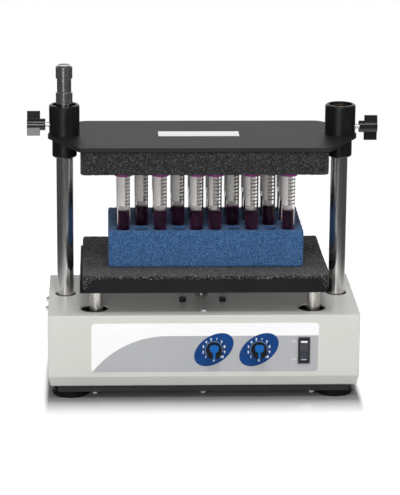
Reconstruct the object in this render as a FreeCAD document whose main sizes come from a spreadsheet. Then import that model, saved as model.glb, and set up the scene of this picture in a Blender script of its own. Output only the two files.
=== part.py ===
import FreeCAD, Part
import os
import Sketcher

# Multi-tube vortex mixer: a heavy base with a motor, a tray that orbits on an eccentric crank,
# and a clamp plate that slides on two posts and holds a rack of tubes on the tray.
# Millimetres, +Z up, front towards -Y, origin on the floor under the middle of the base.

DRIVING_SIZES = {
    # Housing and pan
    "housing_width": 391,
    "housing_depth": 183,
    "housing_top": 112,
    "housing_bottom": 18.4,
    "housing_wall": 2,
    "bevel_height": 13.2,
    "bevel_inset_side": 3,
    "bevel_inset_front": 5,
    "pan_clearance": 0.5,
    "pan_bottom": 9.4,
    "pan_wall": 2,
    "pan_lip_height": 16,
    "pan_step": 6.5,
    # Feet
    "foot_inset_side": 28,
    "foot_inset_front": 34.5,
    "foot_radius": 24.3,
    "foot_sole_radius": 22.6,
    "foot_top_radius": 21,
    "foot_bulge_height": 2.2,
    "foot_recess_radius": 6,
    "foot_recess_depth": 4.6,
    # Small screws
    "screw_shank_radius": 2.2,
    "screw_head_radius": 4.3,
    "screw_head_height": 2.4,
    "screw_clearance": 0.15,
    "screw_reach": 8,
    "rail_screw_head_height": 4,
    "side_screw_head_height": 4,
    "cap_screw_head_height": 5.6,
    "cap_screw_socket_radius": 2,
    "cap_screw_socket_depth": 2.6,
    # Rails, isolators and columns
    "rail_inset": 40.5,
    "rail_depth": 38,
    "rail_thickness": 4,
    "rail_screw_setback": 15,
    "isolator_radius": 15,
    "isolator_height": 32,
    "isolator_gap": 0.3,
    "column_inset": 58.5,
    "column_rail_offset": 3.2,
    "column_radius": 8.5,
    "column_hole_radius": 17.4,
    "column_screw_reach": 12,
    # Posts and their blocks
    "post_inset": 21.2,
    "post_setback": 7,
    "post_radius": 10.5,
    "post_hole_radius": 13.4,
    "post_neck_radius": 9,
    "post_groove_height": 17.3,
    "post_head_height": 16.6,
    "post_edge": 1,
    "post_ledge_edge": 1.3,
    "post_head_edge": 2,
    "post_dish_radius": 6.8,
    "post_dish_rim": 1.5,
    "post_dish_depth": 0.8,
    "post_fit": 0.05,
    "post_block_depth": 66,
    "post_block_height": 44,
    "post_block_drop": 3,
    "post_block_web": 10,
    "post_block_floor": 6,
    "side_screw_spacing": 40,
    "side_screw_drop": 9,
    # Front controls
    "label_width": 285.4,
    "label_offset": 1.2,
    "label_height": 64,
    "label_middle": 69.4,
    "label_thickness": 0.4,
    "label_corner": 5,
    "knob_middle": 66.9,
    "speed_knob_offset": 12.1,
    "timer_knob_offset": 68.8,
    "knob_radius": 10,
    "knob_nose_radius": 9.4,
    "knob_length": 11,
    "knob_gap": 0.4,
    "pointer_disc_radius": 5.8,
    "pointer_disc_rise": 4.8,
    "pointer_width": 3,
    "pointer_end_margin": 0.6,
    "pointer_depth": 1.2,
    "pointer_fit": 0.05,
    "pot_shaft_radius": 3,
    "pot_shaft_fit": 0.05,
    "pot_bush_radius": 4.6,
    "pot_bush_fit": 0.15,
    "pot_radius": 8.5,
    "pot_depth": 12,
    "pot_shaft_seat": 6,
    # Rocker switch
    "switch_offset": 125.3,
    "switch_middle": 65.7,
    "switch_bezel_width": 15.2,
    "switch_bezel_height": 34.4,
    "switch_bezel_thickness": 2,
    "switch_body_depth": 15,
    "switch_body_wall": 0.9,
    "switch_fit": 0.2,
    "rocker_width": 10.8,
    "rocker_radius": 14.8,
    "rocker_gap": 0.3,
    "rocker_front": 6,
    "rocker_back": 3,
    "rocker_proud": 1.6,
    "rocker_dish_depth": 1.2,
    "rocker_swing_room": 3.5,
    # Power inlet at the back
    "inlet_offset": 100,
    "inlet_middle": 70,
    "inlet_flange_width": 50,
    "inlet_flange_height": 27,
    "inlet_flange_thickness": 4,
    "inlet_body_width": 28,
    "inlet_body_height": 20,
    "inlet_body_depth": 26,
    "inlet_wall": 2,
    "inlet_fit": 0.2,
    "inlet_screw_spacing": 40,
    "inlet_pin_width": 4,
    "inlet_pin_thickness": 2,
    "inlet_pin_length": 17,
    "inlet_pin_spacing": 7,
    "inlet_pin_rise": 4,
    # Control board
    "board_offset": 84,
    "board_width": 66,
    "board_rail_gap": 3,
    "board_thickness": 1.6,
    "board_margin": 6,
    "standoff_radius": 3.5,
    "standoff_height": 10,
    "transformer_width": 34,
    "transformer_depth": 30,
    "transformer_height": 28,
    "capacitor_radius": 8,
    "capacitor_gap": 5,
    "capacitor_height": 25,
    "heat_sink_width": 40,
    "heat_sink_depth": 12,
    "heat_sink_height": 22,
    # Motor and drive
    "motor_plate_width": 76,
    "motor_plate_depth": 162,
    "motor_plate_thickness": 6,
    "motor_radius": 36,
    "motor_height": 56,
    "motor_spacer_circle": 30,
    "motor_spacer_radius": 4,
    "motor_spacer_height": 16,
    "motor_edge": 3,
    "plate_screw_spread_side": 25.5,
    "plate_screw_spread_front": 31,
    "dome_screw_spread": 72.8,
    "orbit_radius": 1.8,
    "shaft_radius": 5.5,
    "shaft_fit": 0.05,
    "shaft_hole_radius": 10,
    "shaft_seat_depth": 46,
    "shaft_bearing_radius": 11,
    "crank_pin_radius": 3.5,
    "crank_gap": 2.5,
    "counterweight_radius": 24,
    "counterweight_height": 8,
    "counterweight_gap": 4,
    "counterweight_hub_radius": 9,
    # Tray
    "tray_lift": 29.8,
    "tray_post_gap": 6.7,
    "tray_front_reach": 93.5,
    "tray_rear_reach": 101.5,
    "tray_wall": 1.6,
    "tray_lip": 16.7,
    "tray_rear_lip": 8,
    "tray_corner_low": 5,
    "tray_corner_high": 16,
    "bearing_flange_margin": 1.2,
    "bearing_housing_flange_height": 4,
    "bearing_housing_boss_radius": 15,
    "bearing_housing_boss_height": 15.5,
    "bearing_housing_nose_radius": 13.6,
    "bearing_housing_nose_height": 4.8,
    "bearing_radius": 7,
    "bearing_width": 5,
    "bearing_lip_radius": 5,
    "bearing_screw_gap": 0.6,
    "bearing_screw_radius": 1.4,
    "bearing_screw_head_radius": 2.4,
    "bearing_screw_head_height": 2.2,
    "foam_side_gap": 1.2,
    "foam_thickness": 20.4,
    "foam_worn_edge": 5,
    # Rack, tubes and caps
    "rack_pitch": 23,
    "rack_margin_side": 19,
    "rack_margin_front": 14,
    "rack_height": 47.5,
    "rack_offset_side": 1.2,
    "rack_offset_back": 5,
    "rack_hole_radius": 8.6,
    "rack_scallop_depth": 2.2,
    "tube_radius": 8.3,
    "tube_wall": 1,
    "tube_length": 124.4,
    "tube_tip_radius": 3.5,
    "tube_tip_height": 14,
    "tube_floor": 1.5,
    "tube_seat_gap": 0.2,
    "liquid_level": 71,
    "liquid_fit": 0.05,
    "tube_cap_radius": 11,
    "tube_cap_height": 11,
    "tube_cap_grip": 8.5,
    "tube_cap_fit": 0.05,
    "tube_cap_sink": 4.5,
    # Clamp plate
    "pad_thickness": 30.6,
    "pad_margin": 1.5,
    "pad_dent_gap": 0.5,
    "plate_thickness": 5,
    "plate_front_reach": 81,
    "plate_rear_reach": 75.5,
    "plate_shoulder": 18.8,
    "plate_tip_radius": 21,
    "plate_rear_round": 18,
    "plate_label_width": 102,
    "plate_label_depth": 26,
    "plate_label_offset": 5,
    "plate_label_advance": 1.5,
    "plate_label_thickness": 0.3,
    # Collars, bushings and clamp screws
    "collar_radius": 19.2,
    "collar_height": 38,
    "collar_edge": 1.6,
    "collar_mouth_radius": 15,
    "collar_mouth_depth": 3,
    "collar_spigot_radius": 15.5,
    "collar_spigot_length": 24,
    "collar_fit": 0.05,
    "bushing_wall": 2.5,
    "left_clamp_rise": 12.2,
    "right_clamp_rise": 9,
    "clamp_screw_radius": 3,
    "clamp_screw_fit": 0.1,
    "clamp_tip_gap": 0.1,
    "clamp_tip_length": 4,
    "clamp_hub_radius": 7.5,
    "clamp_hub_length": 23,
    "clamp_hub_standoff": 4.8,
    "clamp_wing_long": 17.4,
    "clamp_wing_short": 14.4,
    "clamp_wing_width": 16.4,
    "clamp_wing_offset": 6.8,
    "clamp_wing_root": 3,
    "clamp_wing_thickness": 6.5,
    "clamp_wing_taper": 2.2,
    "clamp_thread_seat": 12,
    "lift_travel": 51,
    "right_post_clearance": 6,
}

RACK_COLUMNS = 10
RACK_ROWS = 5
# One mark per rack hole, from left to right: o holds a tube, and a dot is empty. Rows take turns.
ROW_PATTERNS = ("o.o.oo.o.o", ".o.o..o.o.")
LEFT_WING_TURN = -18
RIGHT_WING_TURN = -10

doc = FreeCAD.newDocument("multi_tube_mixer")
sheet = doc.addObject("Spreadsheet::Sheet", "dims")
finished = []


class Length:
    # A number that also carries the spreadsheet formula it comes from.
    def __init__(self, number, text):
        self.number = float(number)
        self.text = text

    @staticmethod
    def of(other):
        return other if isinstance(other, Length) else Length(other, repr(float(other)))

    def __add__(self, other):
        other = Length.of(other)
        return Length(self.number + other.number, f"({self.text} + {other.text})")

    def __sub__(self, other):
        other = Length.of(other)
        return Length(self.number - other.number, f"({self.text} - {other.text})")

    def __mul__(self, other):
        other = Length.of(other)
        return Length(self.number * other.number, f"({self.text} * {other.text})")

    def __truediv__(self, other):
        other = Length.of(other)
        return Length(self.number / other.number, f"({self.text} / {other.text})")

    def __neg__(self):
        return Length(0, "0") - self

    __radd__ = __add__
    __rmul__ = __mul__


class Sizes:
    pass


size = Sizes()
for row, (name, number) in enumerate(DRIVING_SIZES.items(), start=1):
    sheet.set(f"A{row}", name)
    sheet.set(f"B{row}", str(number))
    sheet.setAlias(f"B{row}", name)
    setattr(size, name, Length(number, f"dims.{name}"))
doc.recompute()

AXES = {
    "+x": FreeCAD.Vector(1, 0, 0),
    "-x": FreeCAD.Vector(-1, 0, 0),
    "+y": FreeCAD.Vector(0, 1, 0),
    "-y": FreeCAD.Vector(0, -1, 0),
    "+z": FreeCAD.Vector(0, 0, 1),
    "-z": FreeCAD.Vector(0, 0, -1),
}
Z_AXIS = AXES["+z"]


# Building blocks, each bound to the sheet

def bind(thing, prop, length):
    length = Length.of(length)
    if "dims." in length.text:
        thing.setExpression(prop, length.text)
    return length


def locate(thing, x, y, z, direction="+z"):
    thing.Placement = FreeCAD.Placement(
        FreeCAD.Vector(*(Length.of(value).number for value in (x, y, z))),
        FreeCAD.Rotation(Z_AXIS, AXES[direction]),
    )
    for coordinate, value in zip("xyz", (x, y, z)):
        bind(thing, f"Placement.Base.{coordinate}", value)
    return thing


def box(name, low, extents):
    thing = doc.addObject("Part::Box", name)
    for prop, extent in zip(("Length", "Width", "Height"), extents):
        setattr(thing, prop, bind(thing, prop, extent).number)
    return locate(thing, *low)


def centred_box(name, x, y, z, width, depth, height):
    return box(name, (x - width / 2, y - depth / 2, z), (width, depth, height))


def cylinder(name, base, radius, height, direction="+z"):
    thing = doc.addObject("Part::Cylinder", name)
    thing.Radius = bind(thing, "Radius", radius).number
    thing.Height = bind(thing, "Height", height).number
    return locate(thing, *base, direction)


def cone(name, base, radius_start, radius_end, height, direction="+z"):
    thing = doc.addObject("Part::Cone", name)
    thing.Radius1 = bind(thing, "Radius1", radius_start).number
    thing.Radius2 = bind(thing, "Radius2", radius_end).number
    thing.Height = bind(thing, "Height", height).number
    return locate(thing, *base, direction)


def fuse(name, pieces):
    if len(pieces) == 1:
        return pieces[0]
    thing = doc.addObject("Part::MultiFuse", name)
    thing.Shapes = pieces
    thing.Refine = True
    return thing


def cut(name, base, tools):
    thing = doc.addObject("Part::Cut", name)
    thing.Base = base
    thing.Tool = fuse(name + "_tools", tools)
    thing.Refine = True
    return thing


def common(name, base, tool):
    thing = doc.addObject("Part::Common", name)
    thing.Base = base
    thing.Tool = tool
    return thing


def group(name, pieces):
    thing = doc.addObject("Part::Compound", name)
    thing.Links = pieces
    return thing


def keep(label, thing):
    thing.Label = label
    finished.append(thing)
    return thing


def origin_plane(body, role):
    return next(feature for feature in body.Origin.OriginFeatures if feature.Role == role)


def new_sketch(body, role):
    sketch = body.newObject("Sketcher::SketchObject", body.Name + "_sketch")
    sketch.AttachmentSupport = [(origin_plane(body, role), "")]
    sketch.MapMode = "FlatFace"
    return sketch


def pin_point(sketch, line, end, across, up):
    # Holds one end of a sketch line at (across, up), measured from the sketch's origin.
    for kind, length in (("DistanceX", across), ("DistanceY", up)):
        length = Length.of(length)
        if length.number == 0:
            axis = -2 if kind == "DistanceX" else -1
            sketch.addConstraint(Sketcher.Constraint("PointOnObject", line, end, axis))
            continue
        if length.number < 0:
            length = -length
            rule = Sketcher.Constraint(kind, line, end, -1, 1, length.number)
        else:
            rule = Sketcher.Constraint(kind, -1, 1, line, end, length.number)
        index = sketch.addConstraint(rule)
        bind(sketch, f"Constraints[{index}]", length)


def polygon(sketch, corners):
    vectors = [FreeCAD.Vector(Length.of(a).number, Length.of(b).number, 0) for a, b in corners]
    count = len(vectors)
    for index in range(count):
        sketch.addGeometry(Part.LineSegment(vectors[index], vectors[(index + 1) % count]), False)
    for index in range(count):
        sketch.addConstraint(Sketcher.Constraint("Coincident", index, 2, (index + 1) % count, 1))
    for index, (across, up) in enumerate(corners):
        pin_point(sketch, index, 1, across, up)


def turned_body(name, profile, x, y, z):
    # A lathe piece: profile is a closed run of (radius, height) corners about the body's Z axis.
    body = doc.addObject("PartDesign::Body", name)
    sketch = new_sketch(body, "XZ_Plane")
    polygon(sketch, profile)
    revolution = body.newObject("PartDesign::Revolution", name + "_turn")
    revolution.Profile = sketch
    revolution.ReferenceAxis = (sketch, ["V_Axis"])
    revolution.Angle = 360
    return locate(body, x, y, z)


def extruded_body(name, role, corners, length, x, y, z):
    body = doc.addObject("PartDesign::Body", name)
    sketch = new_sketch(body, role)
    polygon(sketch, corners)
    pad = body.newObject("PartDesign::Pad", name + "_pad")
    pad.Profile = sketch
    pad.Length = bind(pad, "Length", length).number
    return locate(body, x, y, z)


def screw(name, x, y, z, direction, reach, head_radius=size.screw_head_radius,
          head_height=size.screw_head_height, shank_radius=size.screw_shank_radius, nose=0.7):
    # The head stands on (x, y, z) towards direction, and the shank goes the other way by reach.
    opposite = ("-" if direction[0] == "+" else "+") + direction[1]
    head = cone(name + "_head", (x, y, z), head_radius, head_radius * nose, head_height, direction)
    shank = cylinder(name + "_shank", (x, y, z), shank_radius, reach, opposite)
    return fuse(name, [head, shank])


def shank_hole(name, x, y, z, direction, length):
    radius = size.screw_shank_radius + size.screw_clearance
    return cylinder(name, (x, y, z), radius, length, direction)


SIDES = (-1, 1)
CORNERS = [(side, end) for side in SIDES for end in SIDES]

# Places that several pieces share

half_width = size.housing_width / 2
half_depth = size.housing_depth / 2
front_face = -half_depth
rear_face = half_depth
top_inside = size.housing_top - size.housing_wall
pan_half_width = half_width - size.bevel_inset_side - size.housing_wall - size.pan_clearance
pan_half_depth = half_depth - size.bevel_inset_front - size.housing_wall - size.pan_clearance
pan_floor = size.pan_bottom + size.pan_wall
foot_x = half_width - size.foot_inset_side
foot_y = half_depth - size.foot_inset_front
rail_top = pan_floor + size.rail_thickness
rail_y = pan_half_depth - size.pan_wall - size.pan_clearance - size.rail_depth / 2
rail_screw_y = rail_y + size.rail_screw_setback
isolator_top = rail_top + size.isolator_height
column_spread_side = half_width - size.column_inset
column_spread_front = rail_y - size.column_rail_offset
post_x = half_width - size.post_inset
post_y = size.post_setback
post_block_top = top_inside - size.post_block_drop
post_block_bottom = post_block_top - size.post_block_height
post_foot = post_block_bottom + size.post_block_floor
side_screw_z = post_block_top - size.side_screw_drop
label_front = front_face - size.label_thickness
knob_back = label_front - size.knob_gap
knob_front = knob_back - size.knob_length
panel_back = front_face + size.housing_wall
bezel_front = label_front - size.switch_bezel_thickness
rocker_axis_y = bezel_front - size.rocker_proud + size.rocker_front
switch_half_width = size.rocker_width / 2 + size.rocker_gap + size.switch_body_wall
switch_half_height = size.rocker_radius + size.rocker_gap + size.switch_body_wall
motor_plate_bottom = top_inside - size.motor_plate_thickness
motor_top = motor_plate_bottom - size.motor_spacer_height
crank_x = size.orbit_radius
tray_bottom = size.housing_top + size.tray_lift
tray_half_width = post_x - size.post_radius - size.tray_post_gap
bearing_flange_bottom = tray_bottom - size.bearing_housing_flange_height
bearing_boss_bottom = bearing_flange_bottom - size.bearing_housing_boss_height
bearing_housing_bottom = bearing_boss_bottom - size.bearing_housing_nose_height
bearing_bottom = tray_bottom - size.bearing_width
bearing_screw_circle = (size.bearing_housing_boss_radius + size.bearing_screw_gap
                        + size.bearing_screw_head_radius)
bearing_flange_radius = bearing_screw_circle + size.bearing_screw_head_radius + size.bearing_flange_margin
crank_shoulder = bearing_housing_bottom - size.crank_gap
foam_bottom = tray_bottom + size.tray_wall
foam_top = foam_bottom + size.foam_thickness
foam_half_width = tray_half_width - size.tray_wall - size.foam_side_gap
foam_front = size.tray_wall + size.foam_side_gap - size.tray_front_reach
foam_rear = size.tray_rear_reach - size.tray_wall - size.foam_side_gap
rack_x = crank_x + size.rack_offset_side
rack_y = size.rack_offset_back
rack_half_width = size.rack_pitch * ((RACK_COLUMNS - 1) / 2) + size.rack_margin_side
rack_half_depth = size.rack_pitch * ((RACK_ROWS - 1) / 2) + size.rack_margin_front
tube_bottom = foam_top + size.tube_seat_gap
tube_top = tube_bottom + size.tube_length
tube_cap_bottom = tube_top - size.tube_cap_grip
tube_cap_top = tube_cap_bottom + size.tube_cap_height
pad_bottom = tube_cap_top - size.tube_cap_sink
plate_bottom = pad_bottom + size.pad_thickness
plate_top = plate_bottom + size.plate_thickness
plate_half_width = post_x - size.plate_shoulder
collar_bottom = plate_bottom - size.collar_spigot_length
collar_top = plate_top + size.collar_height
clamp_heights = {"left": plate_top + size.left_clamp_rise, "right": plate_top + size.right_clamp_rise}
groove_bottom = clamp_heights["left"] + size.lift_travel - size.post_groove_height / 2
groove_top = groove_bottom + size.post_groove_height
left_post_top = groove_top + size.post_head_height
right_post_top = collar_bottom + size.lift_travel - size.right_post_clearance
bushing_radius = size.post_radius + size.post_fit + size.bushing_wall

rack_holes = []
filled_holes = []
for rack_row in range(RACK_ROWS):
    pattern = ROW_PATTERNS[rack_row % 2]
    for rack_column in range(RACK_COLUMNS):
        hole = (rack_x + size.rack_pitch * (rack_column - (RACK_COLUMNS - 1) / 2),
                rack_y + size.rack_pitch * (rack_row - (RACK_ROWS - 1) / 2))
        rack_holes.append(hole)
        if pattern[rack_column] == "o":
            filled_holes.append(hole)

plate_screw_places = [(size.plate_screw_spread_side * side, size.plate_screw_spread_front * end)
                      for side, end in CORNERS]
dome_screw_places = [(Length.of(0), size.dome_screw_spread * end) for end in SIDES]
motor_screw_places = [(size.motor_spacer_circle * side, Length.of(0)) for side in SIDES]
motor_screw_places += [(Length.of(0), size.motor_spacer_circle * end) for end in SIDES]
column_places = [(column_spread_side * side, column_spread_front * end) for side, end in CORNERS]
foot_places = [(foot_x * side, foot_y * end) for side, end in CORNERS]
rail_screw_places = [(column_spread_side * step, rail_screw_y * end)
                     for end in SIDES for step in (-1, 0, 1)]
side_screw_places = [(half_width * side, post_y + size.side_screw_spacing / 2 * end) for side, end in CORNERS]
bearing_screw_places = [(crank_x + bearing_screw_circle * dx, bearing_screw_circle * dy)
                        for dx, dy in ((-1, 0), (1, 0), (0, -1), (0, 1))]
knob_places = {"speed": size.speed_knob_offset, "timer": size.timer_knob_offset}


# Base

def tapered_shell(name, inset, top):
    # The housing's outline set in by a wall: upright sides over a tapered skirt.
    skirt_top = size.housing_bottom + size.bevel_height
    width = half_width - inset
    depth = half_depth - inset
    upper = box(name + "_upper", (-width, -depth, skirt_top), (width * 2, depth * 2, top - skirt_top))
    skirt = doc.addObject("Part::Wedge", name + "_skirt")
    # A wedge tapers along its own Y, so it is turned to taper along Z.
    limits = {
        "Xmin": size.bevel_inset_side - width, "Xmax": width - size.bevel_inset_side,
        "Zmin": size.bevel_inset_front - depth, "Zmax": depth - size.bevel_inset_front,
        "X2min": -width, "X2max": width, "Z2min": -depth, "Z2max": depth,
        "Ymin": Length.of(0), "Ymax": size.bevel_height,
    }
    for prop, limit in limits.items():
        setattr(skirt, prop, bind(skirt, prop, limit).number)
    skirt.Placement = FreeCAD.Placement(
        FreeCAD.Vector(0, 0, size.housing_bottom.number), FreeCAD.Rotation(AXES["+x"], 90))
    bind(skirt, "Placement.Base.z", size.housing_bottom)
    return fuse(name, [upper, skirt])


def make_housing():
    outer = tapered_shell("housing_outer", Length.of(0), size.housing_top)
    inner = tapered_shell("housing_inner", size.housing_wall, top_inside)
    through = size.housing_wall * 3
    tools = [inner]
    for x, y in column_places:
        tools.append(cylinder("column_hole", (x, y, top_inside - size.housing_wall),
                              size.column_hole_radius, through))
    for side in SIDES:
        tools.append(cylinder("post_hole", (post_x * side, post_y, top_inside - size.housing_wall),
                              size.post_hole_radius, through))
    tools.append(cylinder("shaft_hole", (0, 0, top_inside - size.housing_wall),
                          size.shaft_hole_radius, through))
    for x, y in plate_screw_places + dome_screw_places:
        tools.append(shank_hole("top_screw_hole", x, y, top_inside - size.housing_wall, "+z", through))
    for x, y in side_screw_places:
        start = x - size.housing_wall * 1.5
        tools.append(shank_hole("side_screw_hole", start, y, side_screw_z, "+x", through))
    tools += panel_cutouts(front_face - size.housing_wall, through)
    inlet_room = size.inlet_fit * 2
    tools.append(centred_box("inlet_cutout", -size.inlet_offset, rear_face - size.housing_wall / 2,
                             size.inlet_middle - size.inlet_body_height / 2 - size.inlet_fit,
                             size.inlet_body_width + inlet_room, through,
                             size.inlet_body_height + inlet_room))
    for side in SIDES:
        tools.append(shank_hole("inlet_screw_hole", size.inlet_screw_spacing / 2 * side - size.inlet_offset,
                                rear_face - size.housing_wall * 2, size.inlet_middle, "+y", through))
    keep("housing", cut("housing", outer, tools))


def panel_cutouts(start, length):
    # Holes that the front panel and the label on it share: two control bushes and the switch.
    tools = []
    bush_hole = size.pot_bush_radius + size.pot_bush_fit
    for offset in knob_places.values():
        tools.append(cylinder("bush_hole", (offset, start, size.knob_middle), bush_hole, length, "+y"))
    width = switch_half_width + size.switch_fit
    height = switch_half_height + size.switch_fit
    tools.append(box("switch_cutout", (size.switch_offset - width, start, size.switch_middle - height),
                     (width * 2, length, height * 2)))
    return tools


def make_pan():
    # A tub with a ledge at each end that closes the housing's mouth.
    pan_top = size.housing_bottom + size.pan_lip_height
    tub_half_width = pan_half_width - size.pan_step
    tub = box("pan_tub", (-tub_half_width, -pan_half_depth, size.pan_bottom),
              (tub_half_width * 2, pan_half_depth * 2, pan_top - size.pan_bottom))
    ledge = box("pan_ledge", (-pan_half_width, -pan_half_depth, size.housing_bottom),
                (pan_half_width * 2, pan_half_depth * 2, size.pan_wall))
    width = tub_half_width - size.pan_wall
    depth = pan_half_depth - size.pan_wall
    inner = box("pan_inner", (-width, -depth, pan_floor), (width * 2, depth * 2, size.housing_top))
    tools = [inner]
    for x, y in rail_screw_places + foot_places:
        tools.append(shank_hole("pan_hole", x, y, size.pan_bottom - size.pan_wall, "+z", size.pan_wall * 3))
    keep("base_pan", cut("base_pan", fuse("pan_blank", [tub, ledge]), tools))


def make_feet():
    feet = []
    hole_radius = size.screw_shank_radius + size.screw_clearance
    recess = size.foot_recess_depth
    profile = [
        (size.foot_recess_radius, 0),
        (size.foot_sole_radius, 0),
        (size.foot_radius, size.foot_bulge_height),
        (size.foot_top_radius, size.pan_bottom),
        (hole_radius, size.pan_bottom),
        (hole_radius, recess),
        (size.foot_recess_radius, recess),
    ]
    for x, y in foot_places:
        feet.append(turned_body("foot", profile, x, y, 0))
    keep("rubber_feet", group("rubber_feet", feet))


def make_rails():
    rails = []
    for end in SIDES:
        rail = centred_box("rail", Length.of(0), rail_y * end, pan_floor,
                           (half_width - size.rail_inset) * 2, size.rail_depth, size.rail_thickness)
        holes = [shank_hole("rail_hole", x, y, size.pan_bottom, "+z", rail_top)
                 for x, y in rail_screw_places if y.number * end > 0]
        rails.append(cut("isolator_rail", rail, holes))
    keep("isolator_rails", group("isolator_rails", rails))


def make_underside_screws():
    screws = [screw("rail_screw", x, y, size.pan_bottom, "-z", rail_top - size.pan_bottom,
                    head_height=size.rail_screw_head_height)
              for x, y in rail_screw_places]
    foot_reach = pan_floor + size.screw_shank_radius - size.foot_recess_depth
    screws += [screw("foot_screw", x, y, size.foot_recess_depth, "-z", foot_reach) for x, y in foot_places]
    keep("underside_screws", group("underside_screws", screws))


def make_isolators():
    isolators = [cylinder("isolator", (x, y, rail_top), size.isolator_radius, size.isolator_height)
                 for x, y in column_places]
    keep("column_isolators", group("column_isolators", isolators))


def make_posts():
    edge = size.post_edge
    radius = size.post_radius
    neck = size.post_neck_radius
    ledge = size.post_ledge_edge
    head_edge = size.post_head_edge
    dish = size.post_dish_radius
    left_top = left_post_top - post_foot
    left = [
        (0, 0), (radius, 0), (radius, groove_bottom - post_foot - ledge),
        (radius - ledge, groove_bottom - post_foot), (neck, groove_bottom - post_foot),
        (neck, groove_top - post_foot), (radius, groove_top - post_foot),
        (radius, left_top - head_edge), (dish + size.post_dish_rim, left_top),
        (dish, left_top - size.post_dish_depth), (0, left_top - size.post_dish_depth),
    ]
    right_top = right_post_top - post_foot
    right = [(0, 0), (radius, 0), (radius, right_top - edge), (radius - edge, right_top), (0, right_top)]
    keep("left_post", turned_body("left_post", left, -post_x, post_y, post_foot))
    keep("right_post", turned_body("right_post", right, post_x, post_y, post_foot))


def make_post_blocks():
    blocks = []
    inner_wall = half_width - size.housing_wall
    width = inner_wall - post_x + size.post_radius + size.post_block_web
    for side in SIDES:
        low_x = inner_wall - width if side > 0 else -inner_wall
        block = box("block", (low_x, post_y - size.post_block_depth / 2, post_block_bottom),
                    (width, size.post_block_depth, size.post_block_height))
        bore = cylinder("block_bore", (post_x * side, post_y, post_foot),
                        size.post_radius + size.post_fit, size.post_block_height)
        holes = [shank_hole("block_hole", x, y, side_screw_z, "-x" if side > 0 else "+x",
                            size.screw_reach + size.screw_clearance)
                 for x, y in side_screw_places if x.number * side > 0]
        blocks.append(cut("post_block", block, [bore] + holes))
    keep("post_blocks", group("post_blocks", blocks))


# Controls on the front

def make_label():
    middle = size.label_offset
    width = size.label_width / 2
    height = size.label_height / 2
    corner = size.label_corner
    tall = box("label_tall", (middle + corner - width, label_front, size.label_middle - height),
               ((width - corner) * 2, size.label_thickness, height * 2))
    wide = box("label_wide", (middle - width, label_front, size.label_middle - height + corner),
               (width * 2, size.label_thickness, (height - corner) * 2))
    rounds = [cylinder("label_round", (middle + (width - corner) * side, label_front,
                                       size.label_middle + (height - corner) * end),
                       corner, size.label_thickness, "+y")
              for side, end in CORNERS]
    sheet_blank = fuse("label_blank", [tall, wide] + rounds)
    keep("front_label", cut("front_label", sheet_blank,
                            panel_cutouts(label_front - size.label_thickness, size.label_thickness * 3)))


def pointer_shape(name, offset, depth, start, grow):
    # A disc with a bar down to the rim, as one inlay, grown all round by a fit.
    disc = cylinder(name + "_disc", (offset, start, size.knob_middle + size.pointer_disc_rise),
                    size.pointer_disc_radius + grow, depth, "+y")
    width = size.pointer_width + grow * 2
    low = size.knob_middle - size.knob_nose_radius + size.pointer_end_margin - grow
    bar = box(name + "_bar", (offset - width / 2, start, low),
              (width, depth, size.knob_middle + size.pointer_disc_rise - low))
    return fuse(name, [disc, bar])


def make_control(name, offset):
    bush_front = label_front - size.knob_gap / 2
    body = cylinder(name + "_can", (offset, panel_back, size.knob_middle), size.pot_radius,
                    size.pot_depth, "+y")
    bush = cylinder(name + "_bush", (offset, bush_front, size.knob_middle), size.pot_bush_radius,
                    panel_back - bush_front, "+y")
    shaft_back = panel_back + size.pot_shaft_seat
    shaft_front = knob_front + size.knob_length / 4
    shaft_bore = cylinder(name + "_bore", (offset, knob_front, size.knob_middle),
                          size.pot_shaft_radius + size.pot_shaft_fit, shaft_back - knob_front, "+y")
    blank = fuse(name + "_pot", [body, bush])
    keep(name + "_potentiometer", cut(name + "_potentiometer", blank, [shaft_bore]))
    shaft_length = shaft_back - size.pot_shaft_fit - shaft_front
    shaft = cylinder(name + "_shaft", (offset, shaft_front, size.knob_middle), size.pot_shaft_radius,
                     shaft_length, "+y")
    keep(name + "_shaft", shaft)
    blank = cone(name + "_knob_blank", (offset, knob_back, size.knob_middle), size.knob_radius,
                 size.knob_nose_radius, size.knob_length, "-y")
    seat = cylinder(name + "_knob_seat", (offset, shaft_front, size.knob_middle),
                    size.pot_shaft_radius + size.pot_shaft_fit, size.knob_length, "+y")
    recess = pointer_shape(name + "_recess", offset, size.pointer_depth, knob_front, size.pointer_fit)
    keep(name + "_knob", cut(name + "_knob", blank, [seat, recess]))
    inlay = pointer_shape(name + "_inlay", offset, size.pointer_depth, knob_front, Length.of(0))
    envelope = cone(name + "_inlay_limit", (offset, knob_back, size.knob_middle), size.knob_radius,
                    size.knob_nose_radius, size.knob_length, "-y")
    keep(name + "_knob_pointer", common(name + "_knob_pointer", inlay, envelope))


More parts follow.
